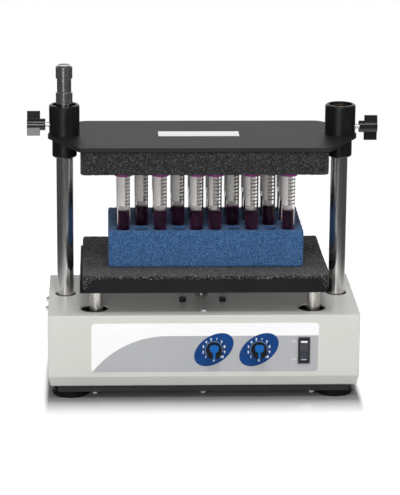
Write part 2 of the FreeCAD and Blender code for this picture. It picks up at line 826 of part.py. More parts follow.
def make_switch():
    x = size.switch_offset
    z = size.switch_middle
    bezel = box("bezel", (x - size.switch_bezel_width / 2, bezel_front, z - size.switch_bezel_height / 2),
                (size.switch_bezel_width, size.switch_bezel_thickness, size.switch_bezel_height))
    body = box("switch_body", (x - switch_half_width, label_front, z - switch_half_height),
               (switch_half_width * 2, size.switch_body_depth, switch_half_height * 2))
    room_half_width = size.rocker_width / 2 + size.rocker_gap
    room_half_height = size.rocker_radius + size.rocker_gap
    room_back = rocker_axis_y + size.rocker_back + size.rocker_swing_room
    room = box("rocker_room", (x - room_half_width, bezel_front - size.rocker_proud, z - room_half_height),
               (room_half_width * 2, room_back - bezel_front + size.rocker_proud, room_half_height * 2))
    keep("switch_frame", cut("switch_frame", fuse("switch_shell", [bezel, body]), [room]))
    drum = cylinder("rocker_drum", (x - size.rocker_width / 2, rocker_axis_y, z), size.rocker_radius,
                    size.rocker_width, "+x")
    low = (x - size.rocker_width, rocker_axis_y - size.rocker_front, z - size.rocker_radius)
    slab = box("rocker_slab", low, (size.rocker_width * 2, size.rocker_front + size.rocker_back,
                                    size.rocker_radius * 2))
    blank = common("rocker_blank", drum, slab)
    # A shallow vee across the front face leaves the two ends of the key standing proud.
    vee = [(0, -size.rocker_radius), (size.rocker_dish_depth, 0), (0, size.rocker_radius)]
    dish = extruded_body("rocker_dish", "YZ_Plane", vee, size.rocker_width * 2,
                         x - size.rocker_width, rocker_axis_y - size.rocker_front, z)
    keep("rocker", cut("rocker", blank, [dish]))


def make_inlet():
    x = -size.inlet_offset
    z = size.inlet_middle
    flange = centred_box("inlet_flange", x, rear_face + size.inlet_flange_thickness / 2,
                         z - size.inlet_flange_height / 2, size.inlet_flange_width,
                         size.inlet_flange_thickness, size.inlet_flange_height)
    mouth = rear_face + size.inlet_flange_thickness
    body_back = mouth - size.inlet_body_depth
    body = box("inlet_body", (x - size.inlet_body_width / 2, body_back, z - size.inlet_body_height / 2),
               (size.inlet_body_width, size.inlet_body_depth, size.inlet_body_height))
    recess_width = size.inlet_body_width - size.inlet_wall * 2
    recess_height = size.inlet_body_height - size.inlet_wall * 2
    recess = box("inlet_recess", (x - recess_width / 2, body_back + size.inlet_wall, z - recess_height / 2),
                 (recess_width, size.inlet_body_depth, recess_height))
    holes = [shank_hole("inlet_flange_hole", x + size.inlet_screw_spacing / 2 * side,
                        rear_face - size.housing_wall, z, "+y", size.inlet_body_depth) for side in SIDES]
    keep("power_inlet", cut("power_inlet", fuse("inlet_shell", [flange, body]), [recess] + holes))
    pins = []
    for across, rise in ((-1, -1), (0, 1), (1, -1)):
        low = (x + size.inlet_pin_spacing * across - size.inlet_pin_thickness / 2,
               body_back + size.inlet_wall,
               z + size.inlet_pin_rise * (rise * 0.5) - size.inlet_pin_width / 2)
        pins.append(box("inlet_pin", low, (size.inlet_pin_thickness, size.inlet_pin_length,
                                           size.inlet_pin_width)))
    keep("inlet_pins", group("inlet_pins", pins))
    screws = [screw("inlet_screw", x + size.inlet_screw_spacing / 2 * side, mouth, z, "+y", size.screw_reach)
              for side in SIDES]
    keep("inlet_screws", group("inlet_screws", screws))


def make_board():
    x = -size.board_offset
    board_bottom = pan_floor + size.standoff_height
    board_top = board_bottom + size.board_thickness
    half_board = rail_y - size.rail_depth / 2 - size.board_rail_gap
    standoffs = [cylinder("standoff", (x + (size.board_width / 2 - size.board_margin) * side,
                                       (half_board - size.board_margin) * end, pan_floor),
                          size.standoff_radius, size.standoff_height) for side, end in CORNERS]
    keep("board_standoffs", group("board_standoffs", standoffs))
    keep("control_board", centred_box("control_board", x, Length.of(0), board_bottom, size.board_width,
                                      half_board * 2, size.board_thickness))
    transformer = centred_box("transformer", x, half_board / 2, board_top, size.transformer_width,
                              size.transformer_depth, size.transformer_height)
    heat_sink = centred_box("heat_sink", x, half_board * -0.75, board_top, size.heat_sink_width,
                            size.heat_sink_depth, size.heat_sink_height)
    capacitor_spread = size.capacitor_radius + size.capacitor_gap / 2
    capacitors = [cylinder("capacitor", (x + capacitor_spread * side, half_board / -4, board_top),
                           size.capacitor_radius, size.capacitor_height) for side in SIDES]
    keep("board_components", group("board_components", [transformer, heat_sink] + capacitors))


# Motor and crank

def make_motor_plate():
    plate = centred_box("motor_plate_blank", Length.of(0), Length.of(0), motor_plate_bottom,
                        size.motor_plate_width, size.motor_plate_depth, size.motor_plate_thickness)
    start = motor_plate_bottom - size.motor_plate_thickness
    through = size.motor_plate_thickness * 3
    tools = [cylinder("bearing_seat", (0, 0, start), size.shaft_bearing_radius + size.shaft_fit, through)]
    for x, y in plate_screw_places + dome_screw_places + motor_screw_places:
        tools.append(shank_hole("plate_hole", x, y, start, "+z", through))
    head_room = size.screw_head_radius + size.screw_clearance
    for x, y in motor_screw_places:
        seat = top_inside - size.screw_head_height - size.screw_clearance
        tools.append(cylinder("plate_counterbore", (x, y, seat), head_room, through))
    keep("motor_plate", cut("motor_plate", plate, tools))


def make_top_screws():
    reach = size.housing_wall + size.motor_plate_thickness
    cap_screws = []
    for x, y in plate_screw_places:
        body = screw("cap_screw", x, y, size.housing_top, "+z", reach,
                     head_height=size.cap_screw_head_height, nose=1)
        socket = cylinder("cap_screw_socket", (x, y, size.housing_top + size.cap_screw_head_height
                                               - size.cap_screw_socket_depth),
                          size.cap_screw_socket_radius, size.cap_screw_head_height)
        cap_screws.append(cut("motor_plate_screw", body, [socket]))
    keep("motor_plate_screws", group("motor_plate_screws", cap_screws))
    screws = [screw("dome_screw", x, y, size.housing_top, "+z", reach) for x, y in dome_screw_places]
    for x, y in side_screw_places:
        direction = "+x" if x.number > 0 else "-x"
        screws.append(screw("side_screw", x, y, side_screw_z, direction, size.screw_reach,
                            head_height=size.side_screw_head_height))
    keep("housing_screws", group("housing_screws", screws))


def make_motor():
    edge = size.motor_edge
    radius = size.motor_radius
    bore = size.shaft_radius + size.shaft_fit
    seat = size.motor_height - size.shaft_seat_depth
    profile = [
        (0, 0), (radius - edge, 0), (radius, edge), (radius, size.motor_height - edge),
        (radius - edge, size.motor_height), (bore, size.motor_height), (bore, seat), (0, seat),
    ]
    can = turned_body("motor_can", profile, Length.of(0), Length.of(0), motor_top - size.motor_height)
    holes = [shank_hole("motor_hole", x, y, motor_top, "-z", size.screw_reach + size.screw_clearance)
             for x, y in motor_screw_places]
    keep("motor", cut("motor", can, holes))
    spacers = []
    screws = []
    head_seat = top_inside - size.screw_head_height - size.screw_clearance
    for x, y in motor_screw_places:
        sleeve = cylinder("spacer", (x, y, motor_top), size.motor_spacer_radius, size.motor_spacer_height)
        hole = shank_hole("spacer_hole", x, y, motor_top - size.housing_wall, "+z",
                          size.motor_spacer_height * 2)
        spacers.append(cut("motor_spacer", sleeve, [hole]))
        reach = head_seat - motor_top + size.screw_reach
        screws.append(screw("motor_screw", x, y, head_seat, "+z", reach, nose=1))
    keep("motor_spacers", group("motor_spacers", spacers))
    keep("motor_screws", group("motor_screws", screws))


def make_crank():
    foot = motor_top - size.shaft_seat_depth + size.shaft_fit
    main = cylinder("crank_main", (0, 0, foot), size.shaft_radius, crank_shoulder - foot)
    pin_length = tray_bottom - size.shaft_fit - crank_shoulder
    pin = cylinder("crank_pin", (crank_x, 0, crank_shoulder), size.crank_pin_radius, pin_length)
    keep("crank_shaft", fuse("crank_shaft", [main, pin]))
    weight_z = motor_top + size.counterweight_gap
    disc = cylinder("weight_disc", (0, 0, weight_z), size.counterweight_radius, size.counterweight_height)
    cutaway = box("weight_cutaway", (0, -size.counterweight_radius, weight_z - size.counterweight_gap),
                  (size.counterweight_radius, size.counterweight_radius * 2, size.counterweight_height * 3))
    hub = cylinder("weight_hub", (0, 0, weight_z), size.counterweight_hub_radius, size.counterweight_height)
    bore = cylinder("weight_bore", (0, 0, weight_z - size.counterweight_gap), size.shaft_radius,
                    size.counterweight_height * 3)
    half_disc = cut("weight_half", disc, [cutaway])
    keep("counterweight", cut("counterweight", fuse("weight_blank", [half_disc, hub]), [bore]))
    ring = cylinder("shaft_bearing_ring", (0, 0, motor_plate_bottom), size.shaft_bearing_radius,
                    size.motor_plate_thickness)
    ring_bore = cylinder("shaft_bearing_bore", (0, 0, motor_plate_bottom - size.motor_plate_thickness),
                         size.shaft_radius + size.shaft_fit, size.motor_plate_thickness * 3)
    keep("shaft_bearing", cut("shaft_bearing", ring, [ring_bore]))


# Tray and what rides on it

def make_tray():
    wall = size.tray_wall
    x_low = crank_x - tray_half_width
    width = tray_half_width * 2
    ahead = -size.tray_front_reach
    behind = size.tray_rear_reach
    floor = box("tray_floor", (x_low, ahead, tray_bottom), (width, behind - ahead, wall))
    x_high = crank_x + tray_half_width
    front_outline = [(x_low + size.tray_corner_low, 0), (x_high - size.tray_corner_low, 0),
                     (x_high - size.tray_corner_high, size.tray_lip),
                     (x_low + size.tray_corner_high, size.tray_lip)]
    front = extruded_body("tray_front", "XZ_Plane", front_outline, wall, Length.of(0), ahead + wall,
                          tray_bottom)
    rear = box("tray_rear", (x_low, behind - wall, tray_bottom), (width, wall, size.tray_rear_lip))
    cheeks = []
    outline = [(ahead, 0), (behind, 0), (behind, size.tray_rear_lip), (ahead, size.tray_lip)]
    for start in (x_low, x_high - wall):
        cheeks.append(extruded_body("tray_cheek", "YZ_Plane", outline, wall, start, Length.of(0),
                                    tray_bottom))
    blank = fuse("tray_blank", [floor, front, rear] + cheeks)
    drop = tray_bottom - wall
    tools = [shank_hole("tray_column_hole", x + crank_x, y, drop, "+z", wall * 3) for x, y in column_places]
    screw_room = size.bearing_screw_radius + size.screw_clearance
    for x, y in bearing_screw_places:
        tools.append(cylinder("tray_bearing_hole", (x, y, drop), screw_room, wall * 3))
    keep("tray", cut("tray", blank, tools))


def make_tray_bearing():
    flange_low = bearing_flange_bottom
    flange = cylinder("bearing_flange", (crank_x, 0, flange_low), bearing_flange_radius,
                      size.bearing_housing_flange_height)
    boss = cylinder("bearing_boss", (crank_x, 0, bearing_boss_bottom), size.bearing_housing_boss_radius,
                    size.bearing_housing_boss_height)
    nose = cone("bearing_nose", (crank_x, 0, bearing_housing_bottom), size.bearing_housing_nose_radius,
                size.bearing_housing_boss_radius, size.bearing_housing_nose_height)
    seat = cylinder("bearing_pocket", (crank_x, 0, bearing_bottom), size.bearing_radius + size.shaft_fit,
                    size.bearing_width * 2)
    lip = cylinder("bearing_lip", (crank_x, 0, bearing_housing_bottom - size.tray_wall),
                   size.bearing_lip_radius, tray_bottom - bearing_housing_bottom)
    screw_room = size.bearing_screw_radius + size.screw_clearance
    holes = [cylinder("flange_hole", (x, y, flange_low - size.tray_wall), screw_room,
                      size.bearing_housing_flange_height * 2) for x, y in bearing_screw_places]
    blank = fuse("bearing_blank", [flange, boss, nose])
    keep("bearing_housing", cut("bearing_housing", blank, [seat, lip] + holes))
    ring = cylinder("tray_bearing_ring", (crank_x, 0, bearing_bottom), size.bearing_radius,
                    size.bearing_width)
    bore = cylinder("tray_bearing_bore", (crank_x, 0, bearing_bottom - size.tray_wall),
                    size.crank_pin_radius + size.shaft_fit, size.bearing_width * 2)
    keep("tray_bearing", cut("tray_bearing", ring, [bore]))
    reach = size.bearing_housing_flange_height + size.tray_wall
    screws = [screw("bearing_screw", x, y, flange_low, "-z", reach, size.bearing_screw_head_radius,
                    size.bearing_screw_head_height, size.bearing_screw_radius)
              for x, y in bearing_screw_places]
    keep("bearing_screws", group("bearing_screws", screws))


def make_columns():
    foot = isolator_top + size.isolator_gap
    columns = []
    screws = []
    for x, y in column_places:
        rod = cylinder("column_rod", (x + crank_x, y, foot), size.column_radius, tray_bottom - foot)
        hole = shank_hole("column_hole", x + crank_x, y, tray_bottom, "-z",
                          size.column_screw_reach + size.screw_clearance)
        columns.append(cut("support_column", rod, [hole]))
        screws.append(screw("column_screw", x + crank_x, y, foam_bottom, "+z",
                            size.column_screw_reach + size.tray_wall))
    keep("support_columns", group("support_columns", columns))
    keep("column_screws", group("column_screws", screws))


def make_tray_foam():
    edge = size.foam_worn_edge
    # Seen from the side, the slab has its long front edge rubbed down.
    outline = [
        (foam_front, 0), (foam_rear, 0), (foam_rear, size.foam_thickness),
        (foam_front + edge, size.foam_thickness),
        (foam_front + edge * 0.3, size.foam_thickness - edge * 0.3),
        (foam_front, size.foam_thickness - edge),
    ]
    slab = extruded_body("tray_foam_slab", "YZ_Plane", outline, foam_half_width * 2,
                         crank_x - foam_half_width, Length.of(0), foam_bottom)
    room = size.screw_head_radius + size.screw_clearance
    dents = [cylinder("screw_dent", (x + crank_x, y, foam_bottom - size.tray_wall), room,
                      size.tray_wall + size.screw_head_height + size.screw_clearance)
             for x, y in column_places]
    keep("tray_foam", cut("tray_foam", slab, dents))


def make_rack():
    blank = box("rack_blank", (rack_x - rack_half_width, rack_y - rack_half_depth, foam_top),
                (rack_half_width * 2, rack_half_depth * 2, size.rack_height))
    start = foam_top - size.rack_height / 2
    length = size.rack_height * 2
    tools = [cylinder("rack_hole", (x, y, start), size.rack_hole_radius, length) for x, y in rack_holes]
    scallop_x = rack_x + rack_half_width + size.rack_hole_radius - size.rack_scallop_depth
    for rack_row in range(RACK_ROWS):
        y = rack_y + size.rack_pitch * (rack_row - (RACK_ROWS - 1) / 2)
        tools.append(cylinder("rack_scallop", (scallop_x, y, start), size.rack_hole_radius, length))
    keep("foam_rack", cut("foam_rack", blank, tools))


def make_tubes():
    wall = size.tube_wall
    tip = size.tube_tip_radius
    outer = size.tube_radius
    bend = size.tube_tip_height
    length = size.tube_length
    glass = [
        (0, 0), (tip, 0), (outer, bend), (outer, length), (outer - wall, length),
        (outer - wall, bend), (tip - wall, size.tube_floor), (0, size.tube_floor),
    ]
    fit = size.liquid_fit
    fill = [
        (0, size.tube_floor + fit), (tip - wall - fit, size.tube_floor + fit),
        (outer - wall - fit, bend), (outer - wall - fit, size.liquid_level), (0, size.liquid_level),
    ]
    inside = outer + size.tube_cap_fit
    cap = [
        (0, size.tube_cap_grip), (inside, size.tube_cap_grip), (inside, 0), (size.tube_cap_radius, 0),
        (size.tube_cap_radius, size.tube_cap_height), (0, size.tube_cap_height),
    ]
    tubes = [turned_body("tube", glass, x, y, tube_bottom) for x, y in filled_holes]
    liquids = [turned_body("liquid", fill, x, y, tube_bottom) for x, y in filled_holes]
    caps = [turned_body("tube_cap", cap, x, y, tube_cap_bottom) for x, y in filled_holes]
    keep("sample_tubes", group("sample_tubes", tubes))
    keep("tube_liquid", group("tube_liquid", liquids))
    keep("tube_caps", group("tube_caps", caps))


# Clamp that slides on the posts

def make_upper_plate():
    body = doc.addObject("PartDesign::Body", "upper_plate_blank")
    sketch = new_sketch(body, "XY_Plane")
    half = plate_half_width.number
    front = -size.plate_front_reach.number
    rear = size.plate_rear_reach.number
    tip = size.plate_tip_radius.number
    reach = post_x.number
    vector = FreeCAD.Vector
    # Front edge, right taper, right tip, right taper, rear edge, left taper, left tip, left taper.
    sketch.addGeometry(Part.LineSegment(vector(-half, front, 0), vector(half, front, 0)), False)
    sketch.addGeometry(Part.LineSegment(vector(half, front, 0), vector(reach + tip, -tip / 2, 0)), False)
    sketch.addGeometry(Part.ArcOfCircle(Part.Circle(vector(reach, 0, 0), Z_AXIS, tip), -0.5, 0.5), False)
    sketch.addGeometry(Part.LineSegment(vector(reach + tip, tip / 2, 0), vector(half, rear, 0)), False)
    sketch.addGeometry(Part.LineSegment(vector(half, rear, 0), vector(-half, rear, 0)), False)
    sketch.addGeometry(Part.LineSegment(vector(-half, rear, 0), vector(-reach - tip, tip / 2, 0)), False)
    sketch.addGeometry(Part.ArcOfCircle(Part.Circle(vector(-reach, 0, 0), Z_AXIS, tip), 2.64, 3.64), False)
    sketch.addGeometry(Part.LineSegment(vector(-reach - tip, -tip / 2, 0), vector(-half, front, 0)), False)
    for line, end, next_line, next_end in ((0, 2, 1, 1), (3, 2, 4, 1), (4, 2, 5, 1), (7, 2, 0, 1)):
        sketch.addConstraint(Sketcher.Constraint("Coincident", line, end, next_line, next_end))
    for line, end, arc, arc_end in ((1, 2, 2, 1), (3, 1, 2, 2), (5, 2, 6, 1), (7, 1, 6, 2)):
        sketch.addConstraint(Sketcher.Constraint("Tangent", line, end, arc, arc_end))
    pin_point(sketch, 0, 1, -plate_half_width, -size.plate_front_reach)
    pin_point(sketch, 0, 2, plate_half_width, -size.plate_front_reach)
    pin_point(sketch, 4, 1, plate_half_width, size.plate_rear_reach)
    pin_point(sketch, 4, 2, -plate_half_width, size.plate_rear_reach)
    pin_point(sketch, 2, 3, post_x, 0)
    pin_point(sketch, 6, 3, -post_x, 0)
    for arc in (2, 6):
        index = sketch.addConstraint(Sketcher.Constraint("Radius", arc, tip))
        bind(sketch, f"Constraints[{index}]", size.plate_tip_radius)
    pad = body.newObject("PartDesign::Pad", "upper_plate_pad")
    pad.Profile = sketch
    pad.Length = bind(pad, "Length", size.plate_thickness).number
    doc.recompute()
    rear_edges = [f"Edge{index}" for index, edge in enumerate(pad.Shape.Edges, start=1)
                  if edge.BoundBox.ZLength > edge.BoundBox.XLength and edge.BoundBox.YMin > rear / 2]
    rounding = body.newObject("PartDesign::Fillet", "upper_plate_rounding")
    rounding.Base = (pad, rear_edges)
    rounding.Radius = bind(rounding, "Radius", size.plate_rear_round).number
    locate(body, Length.of(0), post_y, plate_bottom)
    holes = [cylinder("spigot_hole", (post_x * side, post_y, plate_bottom - size.plate_thickness),
                      size.collar_spigot_radius + size.collar_fit, size.plate_thickness * 3)
             for side in SIDES]
    keep("upper_plate", cut("upper_plate", body, holes))


def make_upper_pad():
    width = plate_half_width - size.pad_margin
    front = post_y - size.plate_front_reach + size.pad_margin
    depth = size.plate_front_reach + size.plate_rear_reach - size.pad_margin * 2
    slab = box("pad_slab", (-width, front, pad_bottom), (width * 2, depth, size.pad_thickness))
    radius = size.tube_cap_radius + size.orbit_radius + size.pad_dent_gap
    height = size.tube_cap_sink + size.pad_dent_gap
    # The caps circle by the orbit radius about the middle of each dent.
    dents = [cylinder("cap_dent", (x - crank_x, y, pad_bottom - height), radius, height * 2)
             for x, y in filled_holes]
    keep("upper_pad", cut("upper_pad", slab, dents))


def make_plate_label():
    strip = centred_box("plate_label", -size.plate_label_offset, post_y - size.plate_label_advance, plate_top,
                        size.plate_label_width, size.plate_label_depth, size.plate_label_thickness)
    keep("plate_label", strip)


def make_collar(name, side):
    x = post_x * side
    clamp_z = clamp_heights[name]
    outer = size.collar_radius
    spigot = size.collar_spigot_radius
    bore = bushing_radius + size.collar_fit
    mouth = size.collar_mouth_radius
    height = collar_top - collar_bottom
    shoulder = size.collar_spigot_length + size.plate_thickness
    edge = size.collar_edge
    profile = [
        (bore, 0), (spigot - edge, 0), (spigot, edge), (spigot, shoulder), (outer, shoulder),
        (outer, height - edge), (outer - edge, height), (mouth, height),
        (mouth, height - size.collar_mouth_depth), (bore, height - size.collar_mouth_depth),
    ]
    blank = turned_body(name + "_collar_blank", profile, x, post_y, collar_bottom)
    direction = "+x" if side > 0 else "-x"
    hole_radius = size.clamp_screw_radius + size.clamp_screw_fit
    hole = cylinder(name + "_screw_hole", (x, post_y, clamp_z), hole_radius, outer * 2, direction)
    keep(name + "_collar", cut(name + "_collar", blank, [hole]))
    sleeve_height = height - size.collar_mouth_depth
    inner = size.post_radius + size.post_fit
    sleeve = turned_body(name + "_sleeve", [(inner, 0), (bushing_radius, 0), (bushing_radius, sleeve_height),
                                            (inner, sleeve_height)], x, post_y, collar_bottom)
    sleeve_hole = cylinder(name + "_sleeve_hole", (x, post_y, clamp_z), hole_radius, outer * 2, direction)
    keep(name + "_bushing", cut(name + "_bushing", sleeve, [sleeve_hole]))


def wing_outline(up):
    # Seen along the screw: a long arm behind the hub and a short one before it, both thinner outwards.
    face = size.clamp_wing_offset
    taper = size.clamp_wing_taper
    inner = face - size.clamp_wing_thickness
    root = size.clamp_wing_root * up
    reach = size.clamp_wing_long * up
    short = size.clamp_wing_short * -up
    return [(-face, root), (taper - face, short), (-inner - taper, short), (-inner, -root), (face, -root),
            (face - taper, reach), (inner + taper, reach), (inner, root)]


def make_clamp_screw(name, side, turn):
    direction = "+x" if side > 0 else "-x"
    clamp_z = clamp_heights[name]
    tip_start = post_x + size.post_radius + size.clamp_tip_gap
    stud_start = tip_start + size.clamp_tip_length
    hub_start = post_x + size.collar_radius + size.clamp_hub_standoff
    hub_end = hub_start + size.clamp_hub_length
    keep(name + "_clamp_tip", cylinder(name + "_clamp_tip", (tip_start * side, post_y, clamp_z),
                                       size.clamp_screw_radius, size.clamp_tip_length, direction))
    stud_end = hub_start + size.clamp_thread_seat
    keep(name + "_clamp_stud", cylinder(name + "_clamp_stud", (stud_start * side, post_y, clamp_z),
                                        size.clamp_screw_radius, stud_end - stud_start, direction))
    hub = cylinder(name + "_hub", (hub_start * side, post_y, clamp_z), size.clamp_hub_radius,
                   size.clamp_hub_length, direction)
    wing_x = hub_end - size.clamp_wing_width if side > 0 else -hub_end
    wing = extruded_body(name + "_wing", "YZ_Plane", wing_outline(-side), size.clamp_wing_width, wing_x,
                         post_y, clamp_z)
    blank = fuse(name + "_knob_blank", [hub, wing])
    seat = cylinder(name + "_stud_seat", (hub_start * side, post_y, clamp_z),
                    size.clamp_screw_radius, size.clamp_thread_seat, direction)
    knob = cut(name + "_clamp_knob", blank, [seat])
    # The whole knob is turned about its own screw, as it happens to stand.
    about = FreeCAD.Vector(0, post_y.number, clamp_z.number)
    knob.Placement = FreeCAD.Placement(FreeCAD.Vector(), FreeCAD.Rotation(AXES["+x"], turn), about)
    keep(name + "_clamp_knob", knob)


make_housing()
make_pan()
make_feet()
make_rails()
make_underside_screws()
make_isolators()
make_posts()
make_post_blocks()
make_label()
for control_name, control_offset in knob_places.items():
    make_control(control_name, control_offset)
make_switch()
make_inlet()
make_board()
make_motor_plate()
make_top_screws()
make_motor()
make_crank()
make_tray()
make_tray_bearing()
make_columns()
make_tray_foam()
make_rack()
make_tubes()
make_upper_plate()
make_upper_pad()
make_plate_label()
make_collar("left", -1)
make_collar("right", 1)
make_clamp_screw("left", -1, LEFT_WING_TURN)
make_clamp_screw("right", 1, RIGHT_WING_TURN)
doc.recompute()

for thing in doc.Objects:
    if "Invalid" in thing.State or "Error" in thing.State:
        raise RuntimeError(f"{thing.Label} failed: {thing.State}")
for thing in finished:
    if thing.Shape.isNull() or not thing.Shape.isValid():
        raise RuntimeError(f"{thing.Label} has no valid shape")

os.makedirs("parts", exist_ok=True)
for thing in finished:
    thing.Shape.exportStep(f"parts/{thing.Label}.step")
    print(thing.Label, len(thing.Shape.Solids), round(thing.Shape.Volume, 1))
print("pieces", len(finished))
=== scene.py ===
import math

import bpy
from mathutils import Matrix, Vector, noise


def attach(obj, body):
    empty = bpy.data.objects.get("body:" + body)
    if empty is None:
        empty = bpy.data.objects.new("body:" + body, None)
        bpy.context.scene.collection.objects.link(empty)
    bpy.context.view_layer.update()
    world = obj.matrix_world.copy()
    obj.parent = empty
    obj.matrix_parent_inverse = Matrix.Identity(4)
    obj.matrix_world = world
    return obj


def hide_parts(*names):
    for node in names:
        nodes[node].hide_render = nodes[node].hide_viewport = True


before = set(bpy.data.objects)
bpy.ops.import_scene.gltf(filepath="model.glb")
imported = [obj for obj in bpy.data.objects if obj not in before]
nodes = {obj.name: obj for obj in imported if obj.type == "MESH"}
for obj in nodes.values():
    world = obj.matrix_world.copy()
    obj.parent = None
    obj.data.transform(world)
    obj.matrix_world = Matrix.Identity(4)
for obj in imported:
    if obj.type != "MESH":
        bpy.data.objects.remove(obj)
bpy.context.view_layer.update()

scene = bpy.context.scene
scene.view_settings.view_transform = "Standard"
print("frame loaded:", len(nodes), "nodes")


# Places worked out from the frame

def nodeBox(name):
    # Low and high corner of a CAD node
    points = [vertex.co for vertex in nodes[name].data.vertices]
    return [Vector([pick(point[axis] for point in points) for axis in range(3)]) for pick in (min, max)]


def nodeMiddle(name):
    low, high = nodeBox(name)
    return (low + high) / 2


# New objects in the scene

def addObject(name, data):
    thing = bpy.data.objects.new(name, data)
    scene.collection.objects.link(thing)
    return thing


# Helpers for shader nodes

def startMaterial(name):
    material = bpy.data.materials.new(name)
    material.use_nodes = True
    tree = material.node_tree
    return material, tree, tree.nodes["Principled BSDF"]


def addNode(tree, kind, **settings):
    node = tree.nodes.new(kind)
    for key, value in settings.items():
        setattr(node, key, value)
    return node


def join(tree, source, target):
    tree.links.new(source, target)


def feed(tree, value, socket):
    # Sets a number or a colour on the socket, and joins anything else to it
    if isinstance(value, (int, float)):
        socket.default_value = value
    elif isinstance(value, tuple):
        socket.default_value = (*value, 1)
    else:
        join(tree, value, socket)


def objectPlace(tree):
    return addNode(tree, "ShaderNodeTexCoord").outputs["Object"]


def grain(tree, place, scale, detail=3.0, rough=0.55):
    texture = addNode(tree, "ShaderNodeTexNoise")
    texture.inputs["Scale"].default_value = scale
    texture.inputs["Detail"].default_value = detail
    texture.inputs["Roughness"].default_value = rough
    join(tree, place, texture.inputs["Vector"])
    return texture.outputs["Fac"]


def cells(tree, place, scale):
    texture = addNode(tree, "ShaderNodeTexVoronoi")
    texture.inputs["Scale"].default_value = scale
    join(tree, place, texture.inputs["Vector"])
    return texture.outputs["Distance"]


def ramp(tree, value, stops):
    node = addNode(tree, "ShaderNodeValToRGB")
    band = node.color_ramp
    while len(band.elements) < len(stops):
        band.elements.new(0.5)
    for element, (position, colour) in zip(band.elements, stops):
        element.position = position
        element.color = (*colour, 1)
    join(tree, value, node.inputs["Fac"])
    return node.outputs["Color"]


noiseReach = (0.25, 0.75)


def spread(tree, value, low, high):
    # Maps the usual reach of a noise value to low and high
    node = addNode(tree, "ShaderNodeMapRange")
    node.inputs["From Min"].default_value = noiseReach[0]
    node.inputs["From Max"].default_value = noiseReach[1]
    node.inputs["To Min"].default_value = low
    node.inputs["To Max"].default_value = high
    join(tree, value, node.inputs["Value"])
    return node.outputs["Result"]


def maths(tree, operation, *values):
    node = addNode(tree, "ShaderNodeMath", operation=operation)
    for value, socket in zip(values, node.inputs):
        feed(tree, value, socket)
    return node.outputs["Value"]


def product(tree, first, *others):
    for other in others:
        first = maths(tree, "MULTIPLY", first, other)
    return first


def blendColour(tree, amount, first, second):
    # A mix node has its colours at inputs 6 and 7 and at output 2
    node = addNode(tree, "ShaderNodeMix", data_type="RGBA")
    join(tree, amount, node.inputs[0])
    feed(tree, first, node.inputs[6])
    feed(tree, second, node.inputs[7])
    return node.outputs[2]


def between(tree, value, start, end):
    # Rises smoothly from 0 at start to 1 at end
    node = addNode(tree, "ShaderNodeMapRange", interpolation_type="SMOOTHSTEP")
    node.inputs["From Min"].default_value = start
    node.inputs["From Max"].default_value = end
    join(tree, value, node.inputs["Value"])
    return node.outputs["Result"]


def shift(tree, amount, low, high):
    # Goes from low to high as amount goes from 0 to 1
    node = addNode(tree, "ShaderNodeMapRange")
    join(tree, amount, node.inputs["Value"])
    feed(tree, low, node.inputs["To Min"])
    feed(tree, high, node.inputs["To Max"])
    return node.outputs["Result"]


def mixed(tree, amount, first, second):
    node = addNode(tree, "ShaderNodeMixShader")
    join(tree, amount, node.inputs["Fac"])
    join(tree, first, node.inputs[1])
    join(tree, second, node.inputs[2])
    return node.outputs["Shader"]


def alongAxis(tree, place, axis):
    node = addNode(tree, "ShaderNodeSeparateXYZ")
    join(tree, place, node.inputs["Vector"])
    return node.outputs[axis]


def stretched(tree, place, amounts):
    node = addNode(tree, "ShaderNodeMapping")
    node.inputs["Scale"].default_value = amounts
    join(tree, place, node.inputs["Vector"])
    return node.outputs["Vector"]


bevelSamples = 6


def relief(tree, shader, height, distance, softEdge=0.0):
    # Fine bumps, on edges that look rounded by softEdge
    bump = addNode(tree, "ShaderNodeBump")
    bump.inputs["Distance"].default_value = distance
    join(tree, height, bump.inputs["Height"])
    if softEdge:
        edge = addNode(tree, "ShaderNodeBevel", samples=bevelSamples)
        edge.inputs["Radius"].default_value = softEdge
        join(tree, edge.outputs["Normal"], bump.inputs["Normal"])
    join(tree, bump.outputs["Normal"], shader.inputs["Normal"])


# Finishes: look is the settings of one finish, with its two tones, gloss and surface grain

finishTones = {"detail": 4.0, "shadeUpTo": 0.35, "toneFrom": 0.65}


def finish(name, look):
    material, tree, shader = startMaterial(name)
    place = objectPlace(tree)
    if "grainStretch" in look:
        place = stretched(tree, place, look["grainStretch"])
    broad = grain(tree, place, look["toneScale"], finishTones["detail"])
    tones = [(finishTones["shadeUpTo"], look["shade"]), (finishTones["toneFrom"], look["tone"])]
    join(tree, ramp(tree, broad, tones), shader.inputs["Base Color"])
    fine = grain(tree, place, look["grainScale"])
    join(tree, spread(tree, fine, *look["gloss"]), shader.inputs["Roughness"])
    shader.inputs["Metallic"].default_value = look.get("metal", 0.0)
    shader.inputs["Specular IOR Level"].default_value = look.get("specular", 0.5)
    relief(tree, shader, fine, look["grainDepth"], look.get("softEdge", 0.0))
    return material


